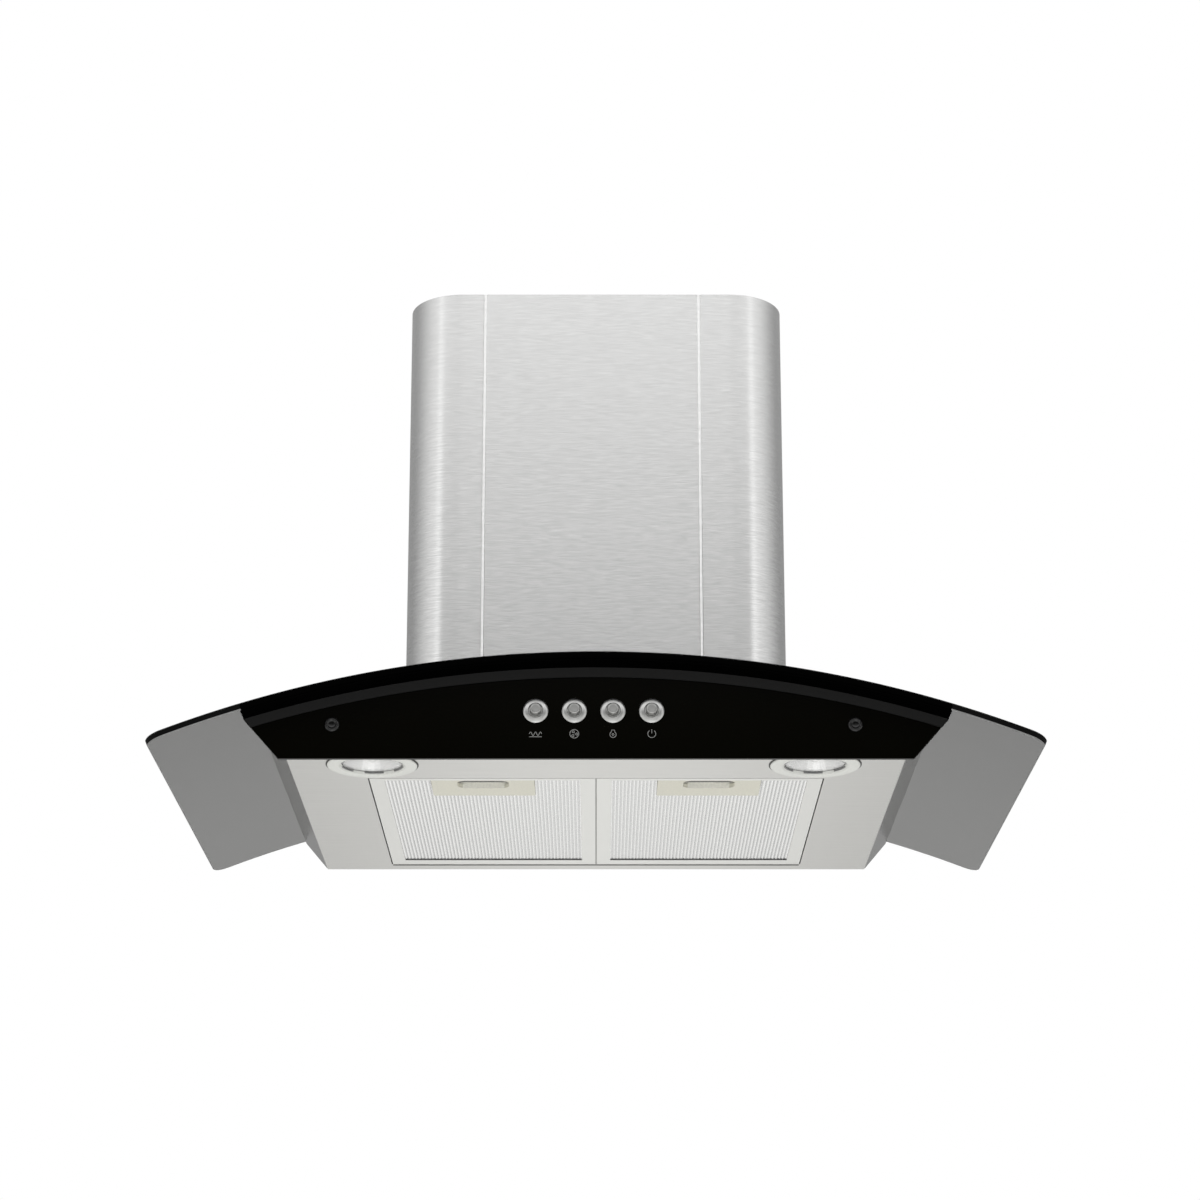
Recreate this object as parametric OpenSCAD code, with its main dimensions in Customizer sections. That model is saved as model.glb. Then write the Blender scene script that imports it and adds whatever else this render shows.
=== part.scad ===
// Wall-mounted range hood with a curved glass canopy, a chimney cover and two grease filters.
// X runs to the right, Y into the wall and Z up. The wall is the plane y = 0.
// The origin is the centre of the wall bracket's four screw holes, on the wall.
// Shapes are drawn with the underside at z = 0, and placed() lowers them to the origin.
// "Front" and "back" of a shape are distances from the wall, so they grow towards the user.

/* [Glass canopy] */
// Width of the glass between its drooping ends
glass_w = 750; // [700:1:900]
// Depth of the glass, from the wall to its front edge
glass_d = 479; // [472:1:500]
// Thickness of the toughened glass
glass_t = 6; // [4:0.5:8]
// Radius of the arch, on the upper face of the glass
arch_r = 990; // [960:5:1200]
// Height of the crown of the glass above the underside
crown_h = 77.5; // [76:0.5:88]
// Radius of the corners of the glass, seen from above
glass_corner_r = 14; // [5:1:30]
// Thickness of the rubber strip under the glass
gasket_t = 2; // [1:0.5:3]
// Air left between the wall and what stands close to it
wall_gap = 1; // [0.5:0.5:2]

/* [Body] */
// Width of the flat underside
body_w = 523; // [500:1:550]
// Slope of the side walls, from the horizontal
wall_angle = 51; // [48:1:70]
// Thickness of the stainless and galvanised sheet
sheet_t = 1; // [0.8:0.1:1.2]
// How far the foot of the rear wall stands ahead of its top
rear_lean = 8; // [4:1:12]
// Height over which the rear wall leans
rear_lean_h = 28; // [20:1:34]
// How far the glass reaches out in front of the control panel
panel_setback = 26; // [24:1:30]

/* [Fascia] */
// Width of the control panel along its bottom edge
panel_w = 531; // [526:1:560]
// Thickness of the control panel
panel_t = 4; // [3:0.5:5]
// How far the control panel hangs below the underside
panel_drop = 8.5; // [3:0.5:10]
// Slope of the ends of the control panel and of the rail above it
panel_end_angle = 49; // [45:1:60]
// Height of the sloping band between the glass and the control panel
band_h = 9.4; // [6:0.2:12]
// How far the top of the sloping band leans forward
band_lean = 3; // [1:0.5:5]
// Thickness of the rail's lip, which lies against the glass
lip_t = 1.5; // [1:0.1:2.5]
// How far the front edge of the glass stands ahead of the lip
lip_setback = 1; // [1:0.5:6]
// Radius of the screw caps
screw_cap_r = 6.5; // [5:0.5:8]
// Distance of each screw cap from the middle between them
screw_cap_x = 219; // [180:1:235]
// Height of the screw caps above the underside
screw_cap_z = 21; // [14:0.5:24]
// How far the screw caps stand proud of the panel
screw_cap_h = 2.2; // [1.5:0.1:3]
// How far the screw caps, the buttons and the lamps sit to the left of the centre line
fitting_offset = 2; // [0:0.5:6]

/* [Buttons] */
// Distance from one push button to the next
button_pitch = 32.4; // [28:0.2:40]
// Height of the push buttons above the underside
button_z = 33; // [28:0.5:38]
// Outer radius of a button's bezel
bezel_r = 10.6; // [9.6:0.2:12]
// Thickness of the bezel in front of the panel
bezel_h = 2.4; // [2:0.2:3]
// Radius of the rounded rim of the bezel
bezel_rim_r = 1.2; // [0.8:0.1:1.4]
// Radius of the well around the button
well_r = 6.3; // [5.8:0.1:6.8]
// Radius of the push button
button_r = 4.8; // [4:0.1:5.2]
// How far the push button stands out of the panel
button_out = 9; // [6:0.5:11]
// Travel of the push button
button_travel = 3; // [2:0.5:4]

/* [Lamps] */
// Distance of each lamp from the side of the underside
lamp_margin = 73; // [66:0.5:80]
// Distance from the face of the control panel to the lamps
lamp_setback = 51; // [44:0.5:53]
// Outer radius of a lamp's trim ring
ring_r = 39; // [36:0.5:39]
// Radius of the window of a lamp
window_r = 26.3; // [22:0.1:28]
// Radius of the ring's sleeve, which passes through the tray
sleeve_r = 32.5; // [31:0.5:34]
// Thickness of the trim ring below the underside
ring_h = 2; // [1.5:0.1:3]
// Thickness of a lamp's lens
lens_t = 2.5; // [2:0.1:3]
// Depth of the bowl of the reflector
bowl_h = 14; // [10:0.5:16]

/* [Filters] */
// Width of one grease filter
filter_w = 196; // [180:0.5:198]
// Distance from the front edge of the filters to the lamps' trim rings
lamp_gap = 8; // [6:0.5:15]
// Thickness of a grease filter
filter_t = 9; // [8:0.5:11]
// Gap between the filters, and round them in the opening of the tray
filter_gap = 1; // [0.6:0.1:1.4]
// Width of the tray's ledge behind the filters
ledge_w = 21; // [19:1:26]
// Width of the side strips of a filter's frame
strip_side = 13; // [10:0.5:16]
// Width of the front strip of a filter's frame
strip_front = 6; // [4:0.5:7]
// Width of the rear strip of a filter's frame
strip_rear = 17; // [14:0.5:26]
// Thickness of the frame's folded aluminium
frame_t = 0.8; // [0.6:0.1:1]
// Distance from one crest of the mesh to the next
mesh_pitch = 3.25; // [3:0.25:8]
// Height of the mesh's corrugation
mesh_rise = 3.6; // [2:0.2:5]
// Thickness of the mesh
mesh_t = 0.6; // [0.4:0.1:0.8]

/* [Filter latches] */
// Width of the grip plate
grip_w = 90; // [80:1:100]
// Length of the grip plate behind the front strip
grip_l = 53; // [48:1:60]
// Width of the finger slot
slot_w = 45; // [40:1:50]
// Length of the finger slot
slot_l = 25; // [24:0.5:28]
// Radius of the corners of the finger slot
slot_r = 8; // [5:0.5:10]
// Travel of the latch
latch_travel = 6; // [5:0.5:7]
// Length of the latch's pad
pad_l = 12; // [10:0.5:13]
// Width of the tongue of the latch
tongue_w = 22; // [16:1:26]
// Thickness of the tongue
tongue_t = 2; // [1.5:0.1:2.4]

/* [Chimney cover] */
// Width of the chimney cover
chimney_w = 348; // [340:1:360]
// Distance from the wall to the chimney's front
chimney_d = 283; // [274:1:300]
// Height of the chimney's top above the underside
chimney_top = 486; // [450:1:640]
// Radius of the chimney's front corners
chimney_r = 50; // [20:1:56]
// Distance of each pressed groove from the middle between them
groove_x = 98.5; // [60:0.5:105]
// How far the middle between the grooves lies to the left of the centre line
groove_offset = 3.5; // [0:0.5:8]
// Width of a pressed groove
groove_w = 1.8; // [1:0.1:3]
// Depth of a pressed groove
groove_h = 0.4; // [0.2:0.1:0.6]

/* [Blower] */
// Gap between the chimney cover and the box round the blower
box_gap = 24; // [20:1:30]
// Height of the box's top above the underside
box_top = 280; // [276:1:300]
// Distance from the wall to the back of the box
box_back = 12; // [12:1:16]
// Distance of the fan's axis from the wall
fan_d = 110; // [108:1:116]
// Height of the fan's axis above the underside
fan_z = 172; // [168:1:178]
// Outer radius of the fan wheel
wheel_r = 62; // [56:1:63]
// Length of the fan wheel along its axis
wheel_w = 110; // [90:2:116]
// Number of blades round the wheel
blades = 32; // [20:1:36]
// Radius at which the spiral housing starts
scroll_start_r = 68; // [66:1:70]
// Radius at which the spiral housing ends
scroll_end_r = 102; // [92:1:106]
// Inside width of the spiral housing
scroll_w = 122; // [118:1:136]
// Radius of the inlets of the spiral housing
inlet_r = 44; // [42:1:45]
// Radius of the motor
motor_r = 36; // [30:1:38]
// Radius of the fan's shaft
shaft_r = 4; // [3:0.5:5]

/* [Duct collar and damper] */
// Outer radius of the collar, which the duct slides over
collar_r = 74.6; // [70:0.1:75]
// Height of the collar above the box
collar_h = 46; // [40:1:60]
// Wall of the collar
collar_t = 2; // [1.5:0.1:3]
// Distance of the collar's axis from the wall
collar_d = 160; // [158:1:164]
// Height of the damper's pin above the box
damper_z = 20; // [16:1:24]
// Radius of the damper's pin
pin_r = 1.6; // [1.4:0.1:2]
// Thickness of a damper flap
flap_t = 1; // [0.8:0.1:1.4]

/* [Wall fixing] */
// How far the wall bracket's screw holes lie below the top of the box
mount_drop = 30; // [24:1:34]
// Distance between the bracket's screw holes, sideways
hole_dx = 180; // [160:1:190]
// Distance between the bracket's screw holes, upwards
hole_dz = 30; // [26:1:34]
// Radius of the bracket's screw holes
hole_r = 3.3; // [2.5:0.1:4]
// Width of the wall bracket
bracket_w = 220; // [210:1:240]
// Height of the wall bracket
bracket_h = 60; // [54:1:64]
// Thickness of the wall bracket
bracket_t = 2; // [1.5:0.5:2.5]

/* [Hidden] */

// Roundness of small and middling circles, and of the arch
$fn = 96;
arch_fn = 1440;
// Overshoot of a cut past the face that it opens
over = 1;
// Clearance between pieces that lie close and don't slide on each other
seat = 0.3;
// Radial clearance of a shaft or button that turns or slides in its bore
running = 0.05;
left = -1;
right = 1;

// Levels and distances that several pieces share
arch_z = crown_h - arch_r;
glass_under_r = arch_r - glass_t;
shell_r = glass_under_r - gasket_t;
band_r = glass_under_r - band_h;
panel_face = glass_d - panel_setback;
shell_front = panel_face - panel_t;
rear_foot = wall_gap + rear_lean;
rear_angle = atan(rear_lean_h / rear_lean);
box_w = chimney_w - 2 * box_gap;
box_front = chimney_d - box_gap;
mount_h = box_top - mount_drop;
tall = 2 * chimney_top;
wide = 2 * glass_w;

function end_x(z) = panel_w / 2 + (z + panel_drop) / tan(panel_end_angle);
function wall_x(z, inset) = body_w / 2 + z / tan(wall_angle) - inset / sin(wall_angle);
function rear_at(z, inset) = rear_foot - z * rear_lean / rear_lean_h + inset / sin(rear_angle);

module placed() {
    translate([0, 0, -mount_h]) children();
}

// Extrudes a front view between two distances from the wall
module run(front, back) {
    translate([0, -back, 0]) rotate([90, 0, 0]) linear_extrude(front - back) children();
}

// Extrudes a side view, drawn as distance from the wall and height, over a width in X
module across(w) {
    rotate([90, 0, -90]) linear_extrude(w, center = true) children();
}

module slab(w, front, back, low, high) {
    translate([-w / 2, -front, low]) cube([w, front - back, high - low]);
}

// Turns a shape drawn about +Z so that +Z points out of the control panel
module on_panel(x, z) {
    translate([x, -panel_face, z]) rotate([90, 0, 0]) children();
}

module arch_disc(r) {
    translate([0, arch_z]) circle(r, $fn = arch_fn);
}

// Carries a shape drawn about +Z to the arch, square to the glass, at a place in X
module on_arch(x, d, r) {
    translate([0, -d, arch_z]) rotate([0, asin(x / r), 0]) translate([0, 0, r]) children();
}

// Plan of a plate with rounded corners, centred in X, from one distance to another
module rounded_plan(w, front, back, r) {
    translate([-w / 2 + r, -front]) square([w - 2 * r, front - back]);
    translate([-w / 2, -front + r]) square([w, front - back - 2 * r]);
    for (x = [-w / 2 + r, w / 2 - r], y = [-front + r, -back - r]) translate([x, y]) circle(r);
}

// Glass canopy

// Gap between the glass and the box that passes through it
glass_cut_gap = 3;
glass_cut_r = glass_t;
// Screws that clamp the glass between the box's flange and the shell
clamp_flange = box_gap - 4 * sheet_t;
clamp_head_r = 4;
clamp_x = box_w / 2 + clamp_flange - 2 * clamp_head_r;
clamp_d = [box_back + (box_front - box_back) / 5, box_front - (box_front - box_back) / 5];
clamp_r = 2;
clamp_hole_r = clamp_r + seat;
clamp_glass_hole_r = clamp_r + 1;
clamp_head_h = 2.4;
clamp_foot_r = chimney_r - 4 * sheet_t;

module clamp_holes(r) {
    for (x = [-clamp_x, clamp_x], d = clamp_d)
        on_arch(x, d, arch_r) cylinder(r = r, h = 8 * glass_t, center = true);
}

module arch_sheet(outer, inner, front, back) {
    run(front, back) intersection() {
        difference() {
            arch_disc(outer);
            arch_disc(inner);
        }
        translate([-wide / 2, -crown_h]) square([wide, tall]);
    }
}

module glass_canopy() {
    color([0.42, 0.44, 0.45, 0.6]) difference() {
        intersection() {
            arch_sheet(arch_r, glass_under_r, glass_d, wall_gap);
            translate([0, 0, -tall / 2]) linear_extrude(tall)
                rounded_plan(glass_w, glass_d, wall_gap, glass_corner_r);
        }
        linear_extrude(tall) rounded_plan(
            box_w + 2 * glass_cut_gap, box_front + glass_cut_gap, box_back - glass_cut_gap, glass_cut_r);
        clamp_holes(clamp_glass_hole_r);
    }
}

// Height at which the side wall meets an arch of radius r
function rim_height(r) =
    let (lean = 1 / tan(wall_angle), side = body_w / 2, steep = 1 + lean * lean)
    let (half = side * lean - arch_z)
    (-half + sqrt(half * half - steep * (side * side + arch_z * arch_z - r * r))) / steep;

gasket_w = 2 * wall_x(rim_height(shell_r), 0);
gasket_band = 16;

module glass_gasket() {
    color("black") difference() {
        intersection() {
            arch_sheet(glass_under_r - seat, shell_r + seat, shell_front, rear_foot);
            union() {
                difference() {
                    slab(gasket_w, shell_front, rear_foot, 0, tall);
                    slab(gasket_w - 2 * gasket_band, shell_front - gasket_band,
                        rear_foot + gasket_band, -over, tall + over);
                }
                slab(2 * clamp_x + gasket_band, box_front + gasket_band, rear_foot, 0, tall);
            }
        }
        slab(box_w + 2 * glass_cut_gap, box_front + glass_cut_gap, 0, -over, tall + over);
        clamp_holes(clamp_glass_hole_r);
    }
}

module glass_screws() {
    color("silver") for (x = [-clamp_x, clamp_x], d = clamp_d)
        on_arch(x, d, arch_r + seat + sheet_t) {
            cylinder(r = clamp_head_r, h = clamp_head_h);
            translate([0, 0, -glass_t - gasket_t - 4 * sheet_t])
                cylinder(r = clamp_r, h = glass_t + gasket_t + 4 * sheet_t + over);
        }
}

// Body under the glass

intake_margin = 16;
// Screws through the rear wall that stop the body from lifting
lower_hole_x = 100;
lower_hole_z = 48;
lower_hole_r = 3;

module body_outline(inset, low) {
    intersection() {
        arch_disc(shell_r - inset);
        polygon([
            [-wall_x(low, inset), low], [wall_x(low, inset), low],
            [wall_x(2 * crown_h, inset), 2 * crown_h], [-wall_x(2 * crown_h, inset), 2 * crown_h]
        ]);
    }
}

module side_outline(inset, low) {
    polygon([
        [shell_front - inset, low], [rear_at(low, inset), low],
        [rear_at(rear_lean_h, inset), rear_lean_h], [rear_at(rear_lean_h, inset), 2 * crown_h],
        [shell_front - inset, 2 * crown_h]
    ]);
}

module shell_form(inset, low) {
    intersection() {
        run(glass_d, 0) body_outline(inset, low);
        across(wide) side_outline(inset, low);
    }
}

// Sleeve of the bezels, which passes through the panel and the shell's front
bezel_sleeve_r = well_r + 1.3;
bezel_sleeve_l = panel_t + sheet_t + 4;
panel_hole_r = bezel_sleeve_r + 0.1;

function button_x(i) = (i - 2.5) * button_pitch - fitting_offset;

module button_holes(r) {
    for (i = [1:4]) on_panel(button_x(i), button_z)
        translate([0, 0, -bezel_sleeve_l]) cylinder(r = r, h = bezel_sleeve_l + over);
}

module canopy_shell() {
    color([0.72, 0.72, 0.71]) difference() {
        shell_form(0, sheet_t);
        shell_form(sheet_t, -over);
        slab(box_w - 2 * intake_margin, box_front - intake_margin, box_back + intake_margin,
            crown_h / 2, tall);
        button_holes(panel_hole_r);
        clamp_holes(clamp_hole_r);
        for (x = [-lower_hole_x, lower_hole_x]) translate([x, 0, lower_hole_z])
            rotate([90, 0, 0]) cylinder(r = lower_hole_r, h = rear_foot + 4 * sheet_t);
    }
}

// Opening for the two filters
opening_w = 2 * filter_w + 3 * filter_gap;
lamp_x = body_w / 2 - lamp_margin;
lamp_d = panel_face - lamp_setback;
filter_front = lamp_d - ring_r - lamp_gap;
opening_back = rear_foot + ledge_w;
filter_back = opening_back + filter_gap;
filter_l = filter_front - filter_back;
opening_front = filter_front + filter_gap;
filter_x = (filter_w + filter_gap) / 2;
rim_h = filter_t;
tongue_gap = 1.5;

module bottom_tray() {
    color([0.76, 0.76, 0.74]) difference() {
        union() {
            slab(body_w, shell_front, rear_foot, 0, sheet_t);
            difference() {
                slab(opening_w + 2 * sheet_t, opening_front + sheet_t, opening_back, 0, rim_h);
                for (s = [left, right]) translate([s * filter_x, 0, sheet_t])
                    slab(tongue_w + 2 * tongue_gap, opening_front + sheet_t + over,
                        opening_front - over, 0, rim_h);
            }
        }
        slab(opening_w, opening_front, opening_back, -over, rim_h + over);
        for (s = [left, right]) translate([s * lamp_x - fitting_offset, -lamp_d, -over])
            cylinder(r = sleeve_r + seat, h = sheet_t + 2 * over);
    }
}

// Black fascia

module end_cut() {
    top = 2 * crown_h;
    run(glass_d, 0) polygon([
        [-end_x(-panel_drop), -panel_drop], [end_x(-panel_drop), -panel_drop],
        [end_x(top), top], [-end_x(top), top]
    ]);
}

// The rail is turned about the axis of the arch: its profile is radius and distance from the wall
module fascia_rail() {
    lip_front = glass_d - lip_setback;
    color([0.04, 0.04, 0.04]) intersection() {
        translate([0, 0, arch_z]) rotate([90, 0, 0]) rotate_extrude($fn = arch_fn) polygon([
            [band_r + seat, shell_front], [band_r + seat, panel_face],
            [glass_under_r - lip_t, panel_face + band_lean], [glass_under_r - lip_t, lip_front],
            [glass_under_r - seat, lip_front], [glass_under_r - seat, shell_front]
        ]);
        end_cut();
    }
}

screw_cap_stem_r = screw_cap_r / 2;

module control_panel() {
    color([0.02, 0.02, 0.02]) difference() {
        intersection() {
            run(panel_face, shell_front) arch_disc(band_r);
            end_cut();
        }
        button_holes(panel_hole_r);
        for (s = [left, right]) on_panel(s * screw_cap_x - fitting_offset, screw_cap_z)
            cylinder(r = screw_cap_stem_r + seat, h = 4 * panel_t, center = true);
    }
}

module screw_caps() {
    dome_r = (screw_cap_r * screw_cap_r + screw_cap_h * screw_cap_h) / (2 * screw_cap_h);
    color([0.03, 0.03, 0.03]) for (s = [left, right])
        on_panel(s * screw_cap_x - fitting_offset, screw_cap_z) {
            intersection() {
                translate([0, 0, screw_cap_h - dome_r]) sphere(r = dome_r, $fn = 4 * $fn);
                cylinder(r = screw_cap_r, h = screw_cap_h + over);
            }
            translate([0, 0, -panel_t]) cylinder(r = screw_cap_stem_r, h = panel_t + screw_cap_h / 2);
        }
}

// Push buttons

// Level of the floor of the well, in front of the panel
well_floor = 1.2;
shoulder_r = button_r + 1.4;
shoulder_t = 1.5;
stem_r = 2.5;
stem_l = 18;
button_edge_r = 1;
switch_gap = 0.4;
switch_t = 21;
switch_margin = 16;
switch_h = 22;
pocket_l = 11;

module button_bezel(i) {
    color("silver") on_panel(button_x(i), button_z) rotate_extrude() {
        difference() {
            union() {
                translate([well_r, 0]) square([bezel_r - bezel_rim_r - well_r, bezel_h]);
                translate([well_r, 0]) square([bezel_r - well_r, bezel_h - bezel_rim_r]);
                translate([bezel_r - bezel_rim_r, bezel_h - bezel_rim_r]) circle(bezel_rim_r);
            }
            translate([well_r, bezel_h]) polygon([
                [0, -bezel_rim_r], [0, over], [bezel_rim_r, over], [bezel_rim_r, 0]
            ]);
        }
        translate([well_r, -bezel_sleeve_l]) square([bezel_sleeve_r - well_r, bezel_sleeve_l + over]);
        translate([button_r + running, -bezel_sleeve_l])
            square([bezel_sleeve_r - button_r - running, bezel_sleeve_l + well_floor]);
    }
}

module button_cap(i) {
    inner_end = bezel_sleeve_l + seat;
    color("silver") on_panel(button_x(i), button_z) rotate_extrude() {
        translate([0, -inner_end]) square([button_r, inner_end + button_out - button_edge_r]);
        translate([0, -inner_end]) square([button_r - button_edge_r, inner_end + button_out]);
        translate([button_r - button_edge_r, button_out - button_edge_r]) intersection() {
            circle(button_edge_r);
            square(button_edge_r);
        }
        translate([0, -inner_end - shoulder_t]) square([shoulder_r, shoulder_t]);
        translate([0, -stem_l]) square([stem_r, stem_l]);
    }
}

module switch_block() {
    front = shell_front - sheet_t;
    block_w = 3 * button_pitch + 2 * switch_margin;
    color([0.2, 0.2, 0.22]) difference() {
        translate([-fitting_offset, 0, 0])
            slab(block_w, front, front - switch_t, button_z - switch_h / 2, button_z + switch_h / 2);
        for (i = [1:4]) on_panel(button_x(i), button_z) {
            translate([0, 0, -panel_t - sheet_t - pocket_l])
                cylinder(r = bezel_sleeve_r + switch_gap, h = pocket_l + over);
            translate([0, 0, -stem_l - button_travel - seat - over])
                cylinder(r = stem_r + seat, h = stem_l);
        }
    }
}

// Lamps, drawn about +Z with the underside at zero

lip_h = 1.2;
ring_edge = 1;
seat_z = 0.6;
sleeve_t = 1;
sleeve_h = 12;
bowl_t = 0.8;
bowl_base = seat_z + lens_t;
throat_r = 6;
rim_r = sleeve_r - sleeve_t - seat;
socket_r = 9;
socket_h = 12;
socket_gap = 0.2;
capsule_r = 4;

module at_lamp(side) {
    translate([side * lamp_x - fitting_offset, -lamp_d, 0]) children();
}

module lamp_ring(side) {
    color([0.86, 0.86, 0.84]) at_lamp(side) rotate_extrude() polygon([
        [window_r, seat_z], [window_r, -lip_h], [window_r + 2 * ring_edge, -ring_h],
        [ring_r - 1.5 * ring_edge, -ring_h], [ring_r, -ring_h / 2], [ring_r, 0], [sleeve_r, 0],
        [sleeve_r, sleeve_h], [sleeve_r - sleeve_t, sleeve_h], [sleeve_r - sleeve_t, seat_z]
    ]);
}

module lamp_lens(side) {
    color([0.9, 0.93, 0.95, 0.5]) at_lamp(side) translate([0, 0, seat_z])
        cylinder(r = rim_r, h = lens_t);
}

// The bowl's height grows with the square of the distance from its edge's circle
function bowl_point(t) = [throat_r + (window_r - throat_r) * t, bowl_base + bowl_h * (1 - t * t)];

module lamp_reflector(side) {
    steps = 12;
    inner = [for (i = [0:steps]) bowl_point(i / steps)];
    outer = [for (i = [steps:-1:0]) bowl_point(i / steps) + [bowl_t, bowl_t]];
    color([0.93, 0.93, 0.93]) at_lamp(side) rotate_extrude() {
        polygon(concat(inner, outer));
        translate([window_r, bowl_base]) square([rim_r - window_r, bowl_t]);
    }
}

module lamp_capsule(side) {
    top = bowl_base + bowl_h + bowl_t;
    color([0.95, 0.95, 0.9, 0.6]) at_lamp(side) {
        translate([0, 0, bowl_base + capsule_r + over]) sphere(r = capsule_r);
        translate([0, 0, bowl_base + capsule_r + over])
            cylinder(r = capsule_r, h = top + socket_h / 3 - bowl_base - capsule_r - over);
    }
}

module lamp_socket(side) {
    top = bowl_base + bowl_h + bowl_t;
    color([0.93, 0.92, 0.88]) at_lamp(side) difference() {
        translate([0, 0, top]) cylinder(r = socket_r, h = socket_h);
        translate([0, 0, top - over]) cylinder(r = capsule_r + socket_gap, h = socket_h / 3 + over);
    }
}

// Grease filters, drawn with the front edge at y = 0, the length along +Y and the underside at zero

mesh_gap = 0.4;
mesh_lift = 0.1;
grip_under = 0.2;
grip_gap = 0.2;
slot_top = filter_t - 2.5;
slot_front = strip_front + 2;
pad_low = 2.2;
tongue_low = sheet_t + seat;
// The tongue reaches past the filter's front edge, and clears the tray's ledge once the latch is drawn back
tongue_out = latch_travel - filter_gap;
ear_out = 1.5;
ear_t = 1.2;
ear_z = slot_top - 2.6;
tab_w = 24;
tab_l = 8;
tab_t = 1.2;
tab_x = filter_w / 2 - 2 * strip_side - tab_w / 2;

module at_filter(side) {
    translate([side * filter_x, -filter_front, 0]) children();
}

// A box centred in X, from one distance behind the front edge to another
module bar(w, front, back, low, high) {
    translate([-w / 2, front, low]) cube([w, back - front, high - low]);
}

module filter_frame(side) {
    color([0.84, 0.84, 0.82]) at_filter(side) {
        difference() {
            bar(filter_w, 0, filter_l, 0, filter_t);
            bar(filter_w - 2 * strip_side, strip_front, filter_l - strip_rear, -over, filter_t + over);
            bar(filter_w - 2 * frame_t, frame_t, filter_l - frame_t, frame_t, filter_t - frame_t);
            bar(tongue_w + 2 * seat, -over, 2 * frame_t, tongue_low - seat, tongue_low + tongue_t + seat);
        }
        for (x = [-tab_x, tab_x]) translate([x, 0, 0])
            bar(tab_w, filter_l - frame_t, filter_l + tab_l, tongue_low, tongue_low + tab_t);
    }
}

module filter_mesh(side) {
    w = filter_w - 2 * frame_t - 2 * mesh_gap;
    crests = floor(w / mesh_pitch);
    low = frame_t + mesh_lift;
    start = -crests * mesh_pitch / 2;
    under = [for (i = [0:2 * crests]) [start + i * mesh_pitch / 2, low + (i % 2) * mesh_rise]];
    above = [for (i = [2 * crests:-1:0]) under[i] + [0, mesh_t]];
    color([0.9, 0.9, 0.9]) at_filter(side) difference() {
        translate([0, filter_l - frame_t - mesh_gap, 0]) rotate([90, 0, 0])
            linear_extrude(filter_l - 2 * frame_t - 2 * mesh_gap) polygon(concat(under, above));
        bar(grip_w + 2 * grip_gap, 0, strip_front + grip_l + grip_gap, 0, filter_t);
    }
}

module slot_plan(inset) {
    translate([0, slot_l + slot_front])
        rounded_plan(slot_w - 2 * inset, slot_l - inset, inset, slot_r - inset);
}

module filter_grip(side) {
    color([0.82, 0.81, 0.74]) at_filter(side) difference() {
        union() {
            bar(grip_w, strip_front + grip_gap, strip_front + grip_l,
                grip_under, filter_t - frame_t - mesh_lift);
            bar(grip_w, frame_t + mesh_gap, strip_front + grip_l, frame_t + mesh_lift,
                filter_t - frame_t - mesh_lift);
        }
        translate([0, 0, -over]) linear_extrude(slot_top + over) slot_plan(0);
        bar(tongue_w + 2 * seat, -over, slot_front + slot_l / 2,
            tongue_low - seat, tongue_low + tongue_t + seat);
        bar(slot_w + 2 * (ear_out + seat), slot_front + slot_r / 2, slot_front + slot_l,
            ear_z - seat, ear_z + ear_t + seat);
    }
}

module filter_latch(side) {
    pad_front = slot_front + seat;
    color([0.76, 0.75, 0.68]) at_filter(side) {
        difference() {
            translate([0, 0, pad_low]) linear_extrude(slot_top - seat - pad_low) slot_plan(seat);
            bar(slot_w, pad_front + pad_l, 2 * filter_t + slot_l, 0, filter_t);
        }
        bar(tongue_w, -tongue_out, pad_front + pad_l / 2, tongue_low, tongue_low + tongue_t);
        bar(slot_w + 2 * ear_out, slot_front + slot_r / 2 + seat, pad_front + pad_l, ear_z, ear_z + ear_t);
    }
}

// Blower box and what it holds

axis_end = wheel_w / 2;
throat_front = fan_d + scroll_end_r;
cutoff_angle = 60;
flange_t = 1.5;
flange_half = 84;
outlet_r = 70;
scroll_t = 1.2;
scroll_top = box_top - sheet_t;

// A wall of the box, which stands on the body's top, and its part of the foot that is clamped to the glass
module box_wall() {
    color([0.7, 0.71, 0.72]) difference() {
        union() {
            children(0);
            intersection() {
                arch_sheet(arch_r + seat + sheet_t, arch_r + seat, glass_d, 0);
                linear_extrude(tall) rounded_plan(box_w + 2 * clamp_flange, box_front + clamp_flange,
                    box_back - clamp_foot_r, clamp_foot_r);
                children(1);
            }
        }
        run(glass_d, 0) arch_disc(shell_r + seat);
        clamp_holes(clamp_hole_r);
    }
}

module blower_front() {
    box_wall() {
        slab(box_w, box_front, box_front - sheet_t, 0, box_top - sheet_t);
        slab(wide, glass_d, box_front - sheet_t / 2, 0, tall);
    }
}

module blower_rear() {
    color([0.7, 0.71, 0.72]) difference() {
        slab(box_w, box_back + sheet_t, box_back, 0, box_top - sheet_t);
        run(glass_d, 0) arch_disc(shell_r + seat);
    }
}

module blower_side(side) {
    box_wall() {
        translate([side * (box_w - sheet_t) / 2, 0, 0])
            slab(sheet_t, box_front - sheet_t, box_back + sheet_t, 0, box_top - sheet_t);
        translate([side * (box_w / 2 + clamp_flange - sheet_t / 2), 0, 0])
            slab(2 * clamp_flange, box_front - sheet_t, box_back + sheet_t, 0, tall);
    }
}

module blower_top() {
    color([0.7, 0.71, 0.72]) difference() {
        slab(box_w, box_front, box_back, box_top - sheet_t, box_top);
        translate([0, -collar_d, box_top]) cylinder(r = outlet_r, h = 4 * sheet_t, center = true);
        translate([gland_x, -gland_d, box_top])
            cylinder(r = gland_r + seat, h = 4 * sheet_t, center = true);
    }
}

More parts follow.
